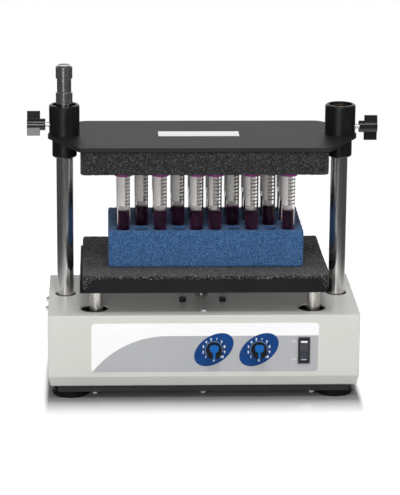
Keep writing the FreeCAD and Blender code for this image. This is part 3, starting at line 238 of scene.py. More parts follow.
finishLooks = {
    "housingPaint": {"tone": (0.675, 0.67, 0.635), "shade": (0.65, 0.645, 0.61), "toneScale": 9,
                     "grainScale": 900, "gloss": (0.34, 0.48), "grainDepth": 0.00006, "softEdge": 0.0022,
                     "specular": 0.35},
    "blackPaint": {"tone": (0.0185, 0.0182, 0.0198), "shade": (0.0145, 0.0142, 0.0158), "toneScale": 30,
                   "grainScale": 1300, "gloss": (0.36, 0.5), "grainDepth": 0.00005, "softEdge": 0.0008,
                   "specular": 0.3},
    "trayPaint": {"tone": (0.0062, 0.0062, 0.0075), "shade": (0.0045, 0.0045, 0.0055), "toneScale": 30,
                  "grainScale": 1300, "gloss": (0.42, 0.55), "grainDepth": 0.00004, "softEdge": 0.0006,
                  "specular": 0.2},
    "plateCoat": {"tone": (0.02, 0.02, 0.021), "shade": (0.014, 0.014, 0.015), "toneScale": 14,
                  "grainScale": 1500, "gloss": (0.42, 0.55), "grainDepth": 0.00004, "softEdge": 0.0009,
                  "specular": 0.22},
    "collarBlack": {"tone": (0.0075, 0.0075, 0.0085), "shade": (0.005, 0.005, 0.006), "toneScale": 60,
                    "grainScale": 1600, "gloss": (0.26, 0.38), "grainDepth": 0.00003, "softEdge": 0.0006,
                    "specular": 0.4},
    "footRubber": {"tone": (0.0055, 0.0056, 0.006), "shade": (0.0035, 0.0036, 0.004), "toneScale": 80,
                   "grainScale": 1500, "gloss": (0.5, 0.7), "grainDepth": 0.00008, "softEdge": 0.0008,
                   "specular": 0.12},
    # The posts' vertical streaks of tone stand for streaked reflections of the surroundings: a painted
    # reflection
    "polishedPost": {"tone": (0.8, 0.785, 0.77), "shade": (0.56, 0.55, 0.54), "toneScale": 130,
                     "grainScale": 400, "gloss": (0.13, 0.21), "grainDepth": 0.000004, "metal": 1.0,
                     "grainStretch": (1, 1, 0.015)},
    "satinSteel": {"tone": (0.8, 0.77, 0.73), "shade": (0.7, 0.68, 0.65), "toneScale": 60,
                   "grainScale": 1500, "gloss": (0.24, 0.36), "grainDepth": 0.00001, "metal": 1.0,
                   "grainStretch": (1, 1, 0.08)},
    "brightScrew": {"tone": (0.86, 0.87, 0.88), "shade": (0.72, 0.73, 0.74), "toneScale": 200,
                    "grainScale": 1200, "gloss": (0.3, 0.42), "grainDepth": 0.00001, "metal": 0.7,
                    "softEdge": 0.0004},
    "blackScrew": {"tone": (0.03, 0.03, 0.032), "shade": (0.015, 0.015, 0.016), "toneScale": 200,
                   "grainScale": 1500, "gloss": (0.2, 0.34), "grainDepth": 0.00002, "metal": 0.6,
                   "softEdge": 0.0004},
    "castPlastic": {"tone": (0.014, 0.014, 0.015), "shade": (0.009, 0.009, 0.01), "toneScale": 120,
                    "grainScale": 1700, "gloss": (0.12, 0.2), "grainDepth": 0.00001, "softEdge": 0.0006,
                    "specular": 0.5},
    "knobPlastic": {"tone": (0.008, 0.009, 0.011), "shade": (0.005, 0.006, 0.008), "toneScale": 120,
                    "grainScale": 1700, "gloss": (0.4, 0.52), "grainDepth": 0.00002, "softEdge": 0.0005,
                    "specular": 0.12},
    "keyPlastic": {"tone": (0.024, 0.03, 0.042), "shade": (0.017, 0.021, 0.03), "toneScale": 150,
                   "grainScale": 1700, "gloss": (0.16, 0.24), "grainDepth": 0.00001, "softEdge": 0.0004,
                   "specular": 0.55},
    "pointerBlue": {"tone": (0.003, 0.125, 0.45), "shade": (0.002, 0.105, 0.39), "toneScale": 300,
                    "grainScale": 1500, "gloss": (0.3, 0.4), "grainDepth": 0.00001, "softEdge": 0.0002,
                    "specular": 0.2},
    "labelFilm": {"tone": (0.965, 0.97, 0.975), "shade": (0.945, 0.95, 0.955), "toneScale": 30,
                  "grainScale": 2000, "gloss": (0.3, 0.4), "grainDepth": 0.00001},
    "panelGrey": {"tone": (0.455, 0.46, 0.475), "shade": (0.42, 0.425, 0.44), "toneScale": 12,
                  "grainScale": 2200, "gloss": (0.3, 0.4), "grainDepth": 0.00001},
    "dialBlue": {"tone": (0.0, 0.05, 0.215), "shade": (0.0, 0.042, 0.19), "toneScale": 40,
                 "grainScale": 2200, "gloss": (0.4, 0.5), "grainDepth": 0.00001, "specular": 0.2},
    "printWhite": {"tone": (0.9, 0.9, 0.9), "shade": (0.84, 0.84, 0.84), "toneScale": 400,
                   "grainScale": 2200, "gloss": (0.35, 0.45), "grainDepth": 0.000005},
    # Pale print on the rocker; also the painted highlight ring round each knob
    "palePrintAndHighlight": {"tone": (0.42, 0.5, 0.62), "shade": (0.36, 0.44, 0.56), "toneScale": 400,
                  "grainScale": 2200, "gloss": (0.3, 0.4), "grainDepth": 0.000005},
    "printRed": {"tone": (0.14, 0.04, 0.03), "shade": (0.1, 0.03, 0.025), "toneScale": 400,
                 "grainScale": 2200, "gloss": (0.3, 0.4), "grainDepth": 0.000005},
    "capPurple": {"tone": (0.25, 0.02, 0.2), "shade": (0.19, 0.015, 0.15), "toneScale": 90,
                  "grainScale": 1500, "gloss": (0.25, 0.38), "grainDepth": 0.00003, "softEdge": 0.0006},
    "bronzeSleeve": {"tone": (0.26, 0.21, 0.14), "shade": (0.2, 0.16, 0.1), "toneScale": 150,
                     "grainScale": 1300, "gloss": (0.3, 0.45), "grainDepth": 0.00001, "metal": 1.0},
    "brassPin": {"tone": (0.72, 0.55, 0.27), "shade": (0.6, 0.45, 0.2), "toneScale": 200,
                 "grainScale": 1300, "gloss": (0.2, 0.3), "grainDepth": 0.00001, "metal": 1.0},
    "bareAluminium": {"tone": (0.72, 0.72, 0.73), "shade": (0.62, 0.62, 0.63), "toneScale": 60,
                      "grainScale": 900, "gloss": (0.3, 0.45), "grainDepth": 0.00002, "metal": 1.0,
                      "grainStretch": (0.1, 1, 1)},
    "motorEnamel": {"tone": (0.07, 0.07, 0.075), "shade": (0.045, 0.045, 0.05), "toneScale": 40,
                    "grainScale": 1000, "gloss": (0.35, 0.5), "grainDepth": 0.00005},
    "boardGreen": {"tone": (0.03, 0.2, 0.08), "shade": (0.02, 0.15, 0.06), "toneScale": 70,
                   "grainScale": 1500, "gloss": (0.25, 0.4), "grainDepth": 0.00002},
    "componentDark": {"tone": (0.05, 0.05, 0.055), "shade": (0.03, 0.03, 0.035), "toneScale": 90,
                      "grainScale": 1300, "gloss": (0.35, 0.5), "grainDepth": 0.00003},
}
finishes = {name: finish(name, look) for name, look in finishLooks.items()}
print("plain finishes made:", len(finishes))

foamLooks = {
    "padFoam": {"stops": [(0.36, (0.004, 0.004, 0.005)), (0.5, (0.019, 0.019, 0.02)),
                          (0.6, (0.05, 0.05, 0.05)), (0.74, (0.22, 0.22, 0.21))],
                "cell": 560, "depth": 0.0009},
    "trayFoam": {"stops": [(0.36, (0.004, 0.004, 0.005)), (0.48, (0.014, 0.014, 0.016)),
                           (0.58, (0.055, 0.055, 0.055)), (0.72, (0.42, 0.41, 0.38))],
                 "cell": 430, "depth": 0.001, "wornAndLitTone": (0.17, 0.17, 0.172), "wornAndLitStart": -0.035,
                 "wornAndLitEnd": -0.08, "wornAndLitMost": 0.6},
    "rackFoam": {"stops": [(0.34, (0.012, 0.04, 0.105)), (0.48, (0.032, 0.094, 0.225)),
                           (0.6, (0.058, 0.145, 0.315)), (0.74, (0.17, 0.31, 0.55))],
                 "cell": 560, "depth": 0.0006},
}
foamSurface = {"speckleDetail": 3.0, "speckleRough": 0.75, "speckleHeight": 0.7, "pitCells": 1.6,
               "upFrom": 0.45, "upFull": 0.9, "rough": 0.95, "specular": 0.12, "sheen": 0.12,
               "sheenRough": 0.6}


def foam(name, look):
    # Open cells: speckle over small round pits, paler on top towards the front from wear and painted light
    material, tree, shader = startMaterial(name)
    place = objectPlace(tree)
    speckle = grain(tree, place, look["cell"], foamSurface["speckleDetail"], foamSurface["speckleRough"])
    colour = ramp(tree, speckle, look["stops"])
    if "wornAndLitTone" in look:
        # Paler on upward faces towards the front: partly wear, partly painted light
        wornAndLitFront = between(tree, alongAxis(tree, place, "Y"), look["wornAndLitStart"], look["wornAndLitEnd"])
        facing = addNode(tree, "ShaderNodeNewGeometry").outputs["Normal"]
        upward = between(tree, alongAxis(tree, facing, "Z"), foamSurface["upFrom"], foamSurface["upFull"])
        patchy = product(tree, wornAndLitFront, upward, spread(tree, speckle, 0.0, look["wornAndLitMost"]))
        colour = blendColour(tree, patchy, colour, look["wornAndLitTone"])
    pits = cells(tree, place, look["cell"] * foamSurface["pitCells"])
    join(tree, colour, shader.inputs["Base Color"])
    shader.inputs["Roughness"].default_value = foamSurface["rough"]
    shader.inputs["Specular IOR Level"].default_value = foamSurface["specular"]
    shader.inputs["Sheen Weight"].default_value = foamSurface["sheen"]
    shader.inputs["Sheen Roughness"].default_value = foamSurface["sheenRough"]
    height = maths(tree, "ADD", product(tree, speckle, foamSurface["speckleHeight"]), pits)
    relief(tree, shader, height, look["depth"])
    return material


foams = {name: foam(name, look) for name, look in foamLooks.items()}
print("foam finishes made")

rackMiddle = nodeMiddle("foam_rack")
liquidTop = nodeBox("tube_liquid")[1].z
tubeLook = {"pitch": 0.023, "rackX": rackMiddle.x, "rackY": rackMiddle.y, "clearTint": (0.95, 0.945, 0.94),
            "hazeTone": (0.55, 0.53, 0.51), "hazeShade": (0.45, 0.43, 0.415), "hazeDry": 0.42,
            "wetTop": liquidTop, "dryFrom": 0.239, "patchTone": (0.7, 0.68, 0.66), "patchMost": 0.7,
            "inkTone": (0.06, 0.05, 0.05), "inkMost": 0.85, "markStep": 0.0045, "markWidth": 0.3,
            "markLow": 0.242, "markHigh": 0.284, "frontFrom": 0.001, "turnReach": 0.009, "clearFrom": 0.004,
            "clearEnd": 0.0075, "farFrom": -0.034, "farEnd": -0.022, "farPaintedShade": 0.72,
            "ior": 1.08, "hazeScale": 300, "clearRough": (0.02, 0.08), "turnMiddle": 0.45, "coatRough": 0.5,
            "coatSpecular": 0.3, "coatBand": (0.3, 0.7), "wraps": 10}


def tubeLocal(tree, place, axis, middle):
    # Distance from the tube's own axis, found by wrapping the place at the rack's pitch
    pitch = tubeLook["pitch"]
    moved = maths(tree, "ADD", alongAxis(tree, place, axis), pitch * (tubeLook["wraps"] + 0.5) - middle)
    return maths(tree, "SUBTRACT", maths(tree, "MODULO", moved, pitch), pitch / 2)


def coated(tree, under, amount, tone, shade, haze, paintedShadeDim):
    # A painted or frosted coat over part of a shader; the last value darkens it with painted shade
    coat = addNode(tree, "ShaderNodeBsdfPrincipled")
    coat.inputs["Roughness"].default_value = tubeLook["coatRough"]
    coat.inputs["Specular IOR Level"].default_value = tubeLook["coatSpecular"]
    shadeUpTo, toneFrom = tubeLook["coatBand"]
    lit = ramp(tree, haze, [(shadeUpTo, shade), (toneFrom, tone)])
    join(tree, blendColour(tree, paintedShadeDim, (0, 0, 0), lit), coat.inputs["Base Color"])
    return mixed(tree, amount, under, coat.outputs["BSDF"])


def tubeNumber(tree, place, look):
    # A fixed number from 0 to 1 for each tube, so that no two stand turned alike
    seat = addNode(tree, "ShaderNodeCombineXYZ")
    for axis, start in (("X", look["rackX"]), ("Y", look["rackY"] - look["pitch"] / 2)):
        offset = maths(tree, "SUBTRACT", alongAxis(tree, place, axis), start)
        join(tree, maths(tree, "FLOOR", maths(tree, "DIVIDE", offset, look["pitch"])), seat.inputs[axis])
    texture = addNode(tree, "ShaderNodeTexWhiteNoise", noise_dimensions="2D")
    join(tree, seat.outputs["Vector"], texture.inputs["Vector"])
    return texture.outputs["Value"]


def tubeFinish(look):
    material, tree, shader = startMaterial("clearTube")
    place = objectPlace(tree)
    across = tubeLocal(tree, place, "X", look["rackX"] + look["pitch"] / 2)
    along = tubeLocal(tree, place, "Y", look["rackY"])
    height = alongAxis(tree, place, "Z")
    shader.inputs["Base Color"].default_value = (*look["clearTint"], 1)
    shader.inputs["Transmission Weight"].default_value = 1.0
    shader.inputs["IOR"].default_value = look["ior"]
    haze = grain(tree, place, look["hazeScale"])
    join(tree, spread(tree, haze, *look["clearRough"]), shader.inputs["Roughness"])
    # Each tube is turned its own way, so the edge between its writing patch and its marks shifts
    turn = maths(tree, "SUBTRACT", tubeNumber(tree, place, look), look["turnMiddle"])
    aside = maths(tree, "SUBTRACT", across, product(tree, turn, look["turnReach"]))
    # Frosted on the front above the liquid, clear at the far side and where the liquid wets the wall
    dry = between(tree, height, look["wetTop"], look["dryFrom"])
    ahead = product(tree, dry, maths(tree, "LESS_THAN", along, look["frontFrom"]))
    covered = maths(tree, "SUBTRACT", 1.0, between(tree, aside, look["clearFrom"], look["clearEnd"]))
    frost = product(tree, ahead, covered, look["hazeDry"])
    # Painted shade: the rows behind are darkened in their colour, standing for the front row's shadow
    far = between(tree, alongAxis(tree, place, "Y"), look["farFrom"], look["farEnd"])
    paintedShadeDim = maths(tree, "SUBTRACT", 1.0, product(tree, far, 1 - look["farPaintedShade"]))
    body = coated(tree, shader.outputs["BSDF"], frost, look["hazeTone"], look["hazeShade"], haze, paintedShadeDim)
    # The writing patch on one side of the edge and the marks on the other
    printed = product(tree, maths(tree, "GREATER_THAN", height, look["markLow"]),
                      maths(tree, "LESS_THAN", height, look["markHigh"]), ahead)
    patch = product(tree, printed, maths(tree, "LESS_THAN", aside, 0.0), look["patchMost"])
    ruler = maths(tree, "FRACT", maths(tree, "DIVIDE", height, look["markStep"]))
    line = maths(tree, "LESS_THAN", ruler, look["markWidth"])
    mark = product(tree, printed, line, maths(tree, "GREATER_THAN", aside, 0.0), look["inkMost"])
    body = coated(tree, body, patch, look["patchTone"], look["hazeTone"], haze, paintedShadeDim)
    body = coated(tree, body, mark, look["inkTone"], look["inkTone"], haze, paintedShadeDim)
    join(tree, body, tree.nodes["Material Output"].inputs["Surface"])
    return material


liquidLook = {"deep": (0.011, 0.003, 0.011), "thin": (0.1, 0.012, 0.05), "rimStart": 0.55, "deepUpTo": 0.1,
              "thinFrom": 0.6, "cloudScale": 160, "cloudDetail": 2.0, "rough": 0.15, "specular": 0.05}


def liquidFinish(look):
    material, tree, shader = startMaterial("purpleLiquid")
    place = objectPlace(tree)
    cloud = grain(tree, place, look["cloudScale"], look["cloudDetail"])
    # Painted light: the colour is lighter where the liquid is seen edge-on, standing for light through its
    # thin rim
    facing = addNode(tree, "ShaderNodeLayerWeight")
    facing.inputs["Blend"].default_value = look["rimStart"]
    rim = product(tree, facing.outputs["Facing"], cloud)
    tones = [(look["deepUpTo"], look["deep"]), (look["thinFrom"], look["thin"])]
    join(tree, ramp(tree, rim, tones), shader.inputs["Base Color"])
    shader.inputs["Roughness"].default_value = look["rough"]
    shader.inputs["Specular IOR Level"].default_value = look["specular"]
    return material


finishes["clearTube"] = tubeFinish(tubeLook)
finishes["purpleLiquid"] = liquidFinish(liquidLook)
print("tube and liquid finishes made")


# Each CAD node that stays in view and the finish it wears

nodeFinishes = {
    "housingPaint": ["housing"],
    "blackPaint": ["base_pan"],
    "trayPaint": ["tray"],
    "plateCoat": ["upper_plate"],
    "collarBlack": ["left_collar", "right_collar", "bearing_housing"],
    "footRubber": ["rubber_feet", "column_isolators"],
    "polishedPost": ["left_post", "right_post"],
    "satinSteel": ["support_columns", "crank_shaft", "counterweight", "isolator_rails", "shaft_bearing",
                   "tray_bearing", "speed_shaft", "timer_shaft"],
    "brightScrew": ["underside_screws", "housing_screws", "inlet_screws", "motor_screws", "bearing_screws",
                    "column_screws", "left_clamp_stud", "right_clamp_stud"],
    "blackScrew": ["motor_plate_screws"],
    "knobPlastic": ["speed_knob", "timer_knob"],
    "castPlastic": ["switch_frame", "power_inlet", "left_clamp_knob", "right_clamp_knob"],
    "keyPlastic": ["rocker"],
    "pointerBlue": ["speed_knob_pointer", "timer_knob_pointer"],
    "labelFilm": ["front_label", "plate_label"],
    "capPurple": ["tube_caps"],
    "clearTube": ["sample_tubes"],
    "purpleLiquid": ["tube_liquid"],
    "bronzeSleeve": ["left_bushing", "right_bushing"],
    "brassPin": ["inlet_pins", "left_clamp_tip", "right_clamp_tip"],
    "bareAluminium": ["motor_plate", "motor_spacers", "post_blocks", "board_standoffs", "speed_potentiometer",
                      "timer_potentiometer"],
    "motorEnamel": ["motor"],
    "boardGreen": ["control_board"],
    "componentDark": ["board_components"],
}


def wear(thing, material):
    thing.data.materials.clear()
    thing.data.materials.append(material)


for finishName, members in nodeFinishes.items():
    for member in members:
        wear(nodes[member], finishes[finishName])
print("CAD nodes dressed:", sum(len(members) for members in nodeFinishes.values()))


# Foam pieces: each CAD slab is remeshed, softened and pitted inwards

foamPieces = {
    "trayFoam": {"node": "tray_foam", "body": "mixing_tray", "slot": "charcoal_foam", "finish": "trayFoam",
                 "voxel": 0.0022, "soften": 2, "pit": 0.0007, "pitScale": 260, "fill": 0.95},
    "upperPad": {"node": "upper_pad", "body": "clamp", "slot": "charcoal_foam", "finish": "padFoam",
                 "voxel": 0.0022, "soften": 2, "pit": 0.0006, "pitScale": 260, "fill": 1.0},
    "foamRack": {"node": "foam_rack", "body": "mixing_tray", "slot": "blue_foam", "finish": "rackFoam",
                 "voxel": 0.0016, "soften": 2, "pit": 0.0004, "pitScale": 300, "fill": 1.0},
}
foamMake = {"softenBy": 0.5, "pitBias": 0.3}


def bakedMesh(thing):
    graph = bpy.context.evaluated_depsgraph_get()
    return bpy.data.meshes.new_from_object(thing.evaluated_get(graph))


def makeFoam(name, piece):
    thing = addObject(name, nodes[piece["node"]].data.copy())
    remesh = thing.modifiers.new("fill", "REMESH")
    remesh.mode = "VOXEL"
    remesh.voxel_size = piece["voxel"]
    soften = thing.modifiers.new("soften", "SMOOTH")
    soften.factor = foamMake["softenBy"]
    soften.iterations = piece["soften"]
    bpy.context.view_layer.update()
    thing.data = bakedMesh(thing)
    thing.modifiers.clear()
    normals = [normal.vector.copy() for normal in thing.data.vertex_normals]
    for vertex, normal in zip(thing.data.vertices, normals):
        depth = max(0.0, noise.noise(vertex.co * piece["pitScale"]) + foamMake["pitBias"])
        vertex.co -= normal * depth * piece["pit"]
    thing.data.polygons.foreach_set("use_smooth", [True] * len(thing.data.polygons))
    wear(thing, foams[piece["finish"]])
    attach(thing, piece["body"])
    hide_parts(piece["node"])
    print("foam piece:", name, len(thing.data.vertices), "points")


for foamName, foamPiece in foamPieces.items():
    makeFoam(foamName, foamPiece)


# Printed front panel: thin films on the label, all facing -Y

labelFace = nodeBox("front_label")[0].y
switchMiddle = nodeMiddle("switch_frame")
panel = {
    "face": labelFace, "film": 0.00005, "greyTop": 0.085, "greyLow": 0.0377, "left": -0.1405, "right": 0.1436,
    "bendX": -0.0462, "corner": 0.005, "arcSteps": 28, "cornerSteps": 8, "switchX": switchMiddle.x,
    "switchZ": switchMiddle.z, "switchWide": 0.0155, "switchTall": 0.0347,
    "words": {"ON": 0.0112, "OFF": -0.0124}, "wordSize": 0.0036, "wordAside": 0.0125,
}
dials = {
    "speed": {"knob": "speed_knob", "rise": 0.0},
    "timer": {"knob": "timer_knob", "rise": -0.0003},
}
dialLook = {"long": 0.0277, "short": 0.0178, "tilt": 36, "hole": 0.0056, "holeSteps": 48, "steps": 96,
            "numberRing": 0.0138, "firstTurn": 47, "turnStep": 29.6, "lastNumber": 10, "numberSize": 0.0047,
            "numberBold": 0.00016, "ringOuter": 0.0109, "ringInner": 0.0105}


filmLayers = {"tint": 1, "word": 2, "dialField": 2, "dialPrint": 3}


def filmFront(layer):
    # How far forward a film lies, counted up from the label's face
    return panel["face"] - panel["film"] * filmLayers[layer]


def flatPiece(name, outlines, front, thick, finishName):
    # Outlines are closed runs of (x, z); the second and later ones are holes
    curve = bpy.data.curves.new(name + "Outline", "CURVE")
    curve.dimensions = "2D"
    curve.fill_mode = "BOTH"
    curve.extrude = thick / 2
    for outline in outlines:
        spline = curve.splines.new("POLY")
        spline.points.add(len(outline) - 1)
        for point, (x, z) in zip(spline.points, outline):
            point.co = (x, z, 0, 1)
        spline.use_cyclic_u = True
    printOn(name, curve, (0, front + thick / 2, 0), finishName)


def printOn(name, curve, place, finishName):
    # Turns a flat curve to face -Y and lays it on the label
    holder = addObject(name + "Holder", curve)
    bpy.context.view_layer.update()
    mesh = bakedMesh(holder)
    bpy.data.objects.remove(holder)
    mesh.transform(Matrix.Translation(place) @ Matrix.Rotation(math.radians(90), 4, "X"))
    thing = addObject(name, mesh)
    wear(thing, finishes[finishName])
    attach(thing, "base")


def arc(middleX, middleZ, wide, tall, start, end, steps):
    angles = [math.radians(start + (end - start) * step / steps) for step in range(steps + 1)]
    return [(middleX + wide * math.cos(a), middleZ + tall * math.sin(a)) for a in angles]


def lettering(name, text, size, place, layer, bold=0.0):
    # One film of white letters with their middle at (x, z)
    x, z = place
    curve = bpy.data.curves.new(name + "Text", "FONT")
    curve.body = text
    curve.size = size
    curve.align_x = "CENTER"
    curve.align_y = "CENTER"
    curve.extrude = panel["film"] / 2
    curve.offset = bold
    printOn(name, curve, (x, filmFront(layer) + panel["film"] / 2, z), "printWhite")


def makePanel(look):
    rise = look["greyTop"] - look["greyLow"]
    run = look["bendX"] - look["left"]
    sweep = (run * run + rise * rise) / (2 * rise)
    startTurn = 90 + math.degrees(math.asin(run / sweep))
    # The grey field: a long bend up from the left, a straight top and one rounded corner
    outline = arc(look["bendX"], look["greyTop"] - sweep, sweep, sweep, startTurn, 90, look["arcSteps"])
    outline.append((look["right"], look["greyTop"]))
    corner = look["corner"]
    outline += arc(look["right"] - corner, look["greyLow"] + corner, corner, corner, 0, -90,
                   look["cornerSteps"])
    switchHole = [(look["switchX"] + look["switchWide"] / 2 * a, look["switchZ"] + look["switchTall"] / 2 * b)
                  for a, b in ((-1, -1), (1, -1), (1, 1), (-1, 1))]
    flatPiece("panelTint", [outline, switchHole], filmFront("tint"), look["film"], "panelGrey")
    for word, upBy in look["words"].items():
        lettering("switchWord" + word, word, look["wordSize"],
                  (look["switchX"] - look["wordAside"], look["switchZ"] + upBy), "word")
    print("panel printed")


def makeDial(name, dial, look):
    knob = nodeMiddle(dial["knob"])
    middleX, middleZ = knob.x, knob.z + dial["rise"]
    tilt = math.radians(look["tilt"])
    rim = []
    for a, b in arc(0, 0, look["long"], look["short"], 0, 360, look["steps"])[:-1]:
        rim.append((middleX + a * math.cos(tilt) - b * math.sin(tilt),
                    middleZ + a * math.sin(tilt) + b * math.cos(tilt)))
    hole = arc(middleX, middleZ, look["hole"], look["hole"], 0, 360, look["holeSteps"])[:-1]
    fieldThick = panel["film"] * filmLayers["dialField"]
    flatPiece(name + "DialField", [rim, hole], filmFront("dialField"), fieldThick, "dialBlue")
    # A pale film ring round the knob: a painted highlight standing for the light on the knob's rim
    rings = [arc(middleX, middleZ, look[key], look[key], 0, 360, look["steps"])[:-1]
             for key in ("ringOuter", "ringInner")]
    flatPiece(name + "DialRimHighlight", rings, filmFront("dialPrint"), panel["film"], "palePrintAndHighlight")
    # Zero stands at the bottom, and the other numbers go round from the left
    turns = [0] + [look["firstTurn"] + look["turnStep"] * step for step in range(look["lastNumber"])]
    for number, turn in enumerate(turns):
        angle = math.radians(turn)
        x = middleX - look["numberRing"] * math.sin(angle)
        z = middleZ - look["numberRing"] * math.cos(angle)
        lettering(f"{name}Number{number}", str(number), look["numberSize"], (x, z), "dialPrint",
                  look["numberBold"])
    print("dial printed:", name)


# Marks on the rocker: thin films laid on its curved face

rockerMarks = {
    "rockerTopMark": {"across": (-0.0041, 0.0041), "up": (0.0106, 0.0131), "finish": "printWhite"},
    "rockerMidLine": {"across": (-0.0049, 0.0049), "up": (-0.0002, 0.0006), "finish": "printRed"},
    "rockerLowMark": {"across": (-0.0034, 0.0034), "up": (-0.0121, -0.0109), "finish": "palePrintAndHighlight"},
}
markLook = {"columns": 6, "rows": 6, "proud": 0.00006, "sunk": 0.0001, "castFrom": 0.05}


def makeRockerMark(name, mark):
    # A grid of points cast onto the rocker from the front, once just proud of its face and once just under it
    rocker = nodes["rocker"]
    columns, rows = markLook["columns"], markLook["rows"]
    left, right = mark["across"]
    low, high = mark["up"]
    points = []
    for offset in (-markLook["proud"], markLook["sunk"]):
        for row in range(rows + 1):
            for column in range(columns + 1):
                x = panel["switchX"] + left + (right - left) * column / columns
                z = panel["switchZ"] + low + (high - low) * row / rows
                face = rocker.ray_cast((x, panel["face"] - markLook["castFrom"], z), (0, 1, 0))[1]
                points.append((x, face.y + offset, z))
    wide = columns + 1
    back = wide * (rows + 1)
    faces = []
    for row in range(rows):
        for column in range(columns):
            a = row * wide + column
            faces.append((a, a + 1, a + wide + 1, a + wide))
            faces.append((back + a, back + a + wide, back + a + wide + 1, back + a + 1))
    rim = list(range(wide)) + [row * wide + columns for row in range(1, rows + 1)]
    rim += [rows * wide + column for column in range(columns - 1, -1, -1)]
    rim += [row * wide for row in range(rows - 1, 0, -1)]
    for a, b in zip(rim, rim[1:] + rim[:1]):
        faces.append((b, a, back + a, back + b))
    mesh = bpy.data.meshes.new(name)
    mesh.from_pydata(points, [], faces)
    thing = addObject(name, mesh)
    wear(thing, finishes[mark["finish"]])
    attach(thing, "switch_key")


for markName, rockerMark in rockerMarks.items():
    makeRockerMark(markName, rockerMark)
print("rocker marked")

makePanel(panel)
for dialName, dial in dials.items():
    makeDial(dialName, dial, dialLook)


# Studio: a white sheet on a darker bench, a white backdrop, soft lamps, and a strip lamp for the floor alone

studio = {
    "fill": 0.38, "backFill": 1.0, "mirrored": 0.12, "backStart": 0.55, "backEnd": 0.9, "floorReach": 14,
    "floorSeen": 0.3, "floorLit": 0.11, "fadeStart": 0.6, "fadeEnd": 1.1, "sheetStart": 0.45,
    "sheetEnd": 0.72, "benchTone": 0.075,
    "lamps": {
        "frontLamp": {"place": (-0.7, -3.0, 0.75), "aim": (0, 0, 0.16), "size": 1.5, "power": 37},
        "highLamp": {"place": (0.1, -1.3, 2.4), "aim": (0, 0, 0.15), "size": 0.8, "power": 25},
        "sideLamp": {"place": (2.1, -1.6, 1.0), "aim": (0, 0, 0.2), "size": 1.2, "power": 8},
    },
    "floorLamp": {"place": (0, 1.72, 7), "aim": (0, 1.72, 0), "size": 0.4, "length": 4.0, "power": 1600,
                  "shades": ["housing", "base_pan", "rubber_feet", "isolator_rails", "column_isolators",
                             "underside_screws"]},
}


def rayKinds(tree):
    # Rays that show a thing directly or through clear plastic, and rays that show it in a reflection
    rays = addNode(tree, "ShaderNodeLightPath")
    through = rays.outputs["Is Transmission Ray"]
    seen = maths(tree, "MAXIMUM", rays.outputs["Is Camera Ray"], through)
    mirrored = product(tree, rays.outputs["Is Glossy Ray"], maths(tree, "SUBTRACT", 1.0, through))
    return seen, mirrored


def makeFloor(look):
    # Matte round the object, plain white far off; reflections past the sheet's edge see the bench
    material, tree, shader = startMaterial("paleFloor")
    seen, mirrored = rayKinds(tree)
    distance = addNode(tree, "ShaderNodeVectorMath", operation="LENGTH")
    join(tree, objectPlace(tree), distance.inputs[0])
    reach = distance.outputs["Value"]
    matte = addNode(tree, "ShaderNodeBsdfDiffuse")
    join(tree, shift(tree, maths(tree, "MAXIMUM", seen, mirrored), look["floorLit"], look["floorSeen"]),
         matte.inputs["Color"])
    glow = addNode(tree, "ShaderNodeEmission")
    sheet = mixed(tree, between(tree, reach, look["fadeStart"], look["fadeEnd"]), matte.outputs["BSDF"],
                  glow.outputs["Emission"])
    bench = addNode(tree, "ShaderNodeEmission")
    bench.inputs["Strength"].default_value = look["benchTone"]
    offSheet = product(tree, mirrored, between(tree, reach, look["sheetStart"], look["sheetEnd"]))
    join(tree, mixed(tree, offSheet, sheet, bench.outputs["Emission"]),
         tree.nodes["Material Output"].inputs["Surface"])
    tree.nodes.remove(shader)
    mesh = bpy.data.meshes.new("paleFloor")
    half = look["floorReach"] / 2
    corners = [(-half, -half, 0), (half, -half, 0), (half, half, 0), (-half, half, 0)]
    mesh.from_pydata(corners, [], [(0, 1, 2, 3)])
    thing = addObject("paleFloor", mesh)
    wear(thing, material)
    return thing


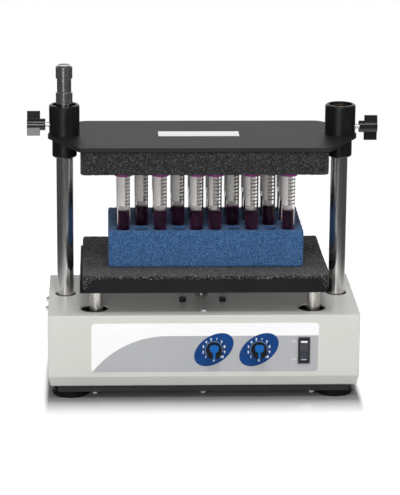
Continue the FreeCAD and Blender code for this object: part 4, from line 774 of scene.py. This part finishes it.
def makeSurroundings(look):
    # White where seen directly; a white backdrop behind the object in reflections and in the fill light
    world = bpy.data.worlds.new("paleRoom")
    scene.world = world
    world.use_nodes = True
    tree = world.node_tree
    background = tree.nodes["Background"]
    seen, mirrored = rayKinds(tree)
    direction = addNode(tree, "ShaderNodeTexCoord").outputs["Generated"]
    backdrop = between(tree, alongAxis(tree, direction, "Y"), look["backStart"], look["backEnd"])
    inMirror = shift(tree, backdrop, look["mirrored"], 1.0)
    background.inputs["Color"].default_value = (1, 1, 1, 1)
    scattered = shift(tree, backdrop, look["fill"], look["backFill"])
    unmirrored = shift(tree, seen, scattered, 1.0)
    join(tree, shift(tree, mirrored, unmirrored, inMirror), background.inputs["Strength"])


def makeLamp(name, lamp):
    data = bpy.data.lights.new(name, "AREA")
    data.shape = "DISK"
    data.size = lamp["size"]
    data.energy = lamp["power"]
    thing = addObject(name, data)
    thing.location = lamp["place"]
    aim = Vector(lamp["aim"]) - Vector(lamp["place"])
    thing.rotation_euler = aim.to_track_quat("-Z", "Y").to_euler()
    return thing


def makeFloorLamp(lamp, floor):
    # A long strip from overhead to behind: only the floor catches it, and only the base shades it
    thing = makeLamp("floorLamp", lamp)
    thing.data.shape = "RECTANGLE"
    thing.data.size_y = lamp["length"]
    lit = bpy.data.collections.new("floorLampLit")
    lit.objects.link(floor)
    thing.light_linking.receiver_collection = lit
    shades = bpy.data.collections.new("floorLampShades")
    for member in lamp["shades"]:
        shades.objects.link(nodes[member])
    thing.light_linking.blocker_collection = shades


floorPlane = makeFloor(studio)
makeSurroundings(studio)
for lampName, lampLook in studio["lamps"].items():
    makeLamp(lampName, lampLook)
makeFloorLamp(studio["floorLamp"], floorPlane)
print("studio set")


# Camera at the photograph's angle

shot = {"place": (-0.13036, -2.96881, 0.99959), "pitchDown": 15.52, "yaw": 2.47, "roll": 0.44, "lens": 175.44,
        "sensor": 36, "farClip": 50}


def makeCamera(look):
    data = bpy.data.cameras.new("shotCamera")
    data.lens = look["lens"]
    data.sensor_width = look["sensor"]
    data.clip_end = look["farClip"]
    thing = addObject("shotCamera", data)
    pitch, yaw, roll = (math.radians(look[key]) for key in ("pitchDown", "yaw", "roll"))
    forward = Vector((math.sin(yaw) * math.cos(pitch), math.cos(yaw) * math.cos(pitch), -math.sin(pitch)))
    across = Vector((math.cos(yaw), -math.sin(yaw), 0))
    up = across.cross(forward)
    turn = Matrix((across, up, -forward)).transposed().to_4x4()
    thing.matrix_world = Matrix.Translation(look["place"]) @ turn @ Matrix.Rotation(roll, 4, "Z")
    scene.camera = thing


makeCamera(shot)
print("camera set")
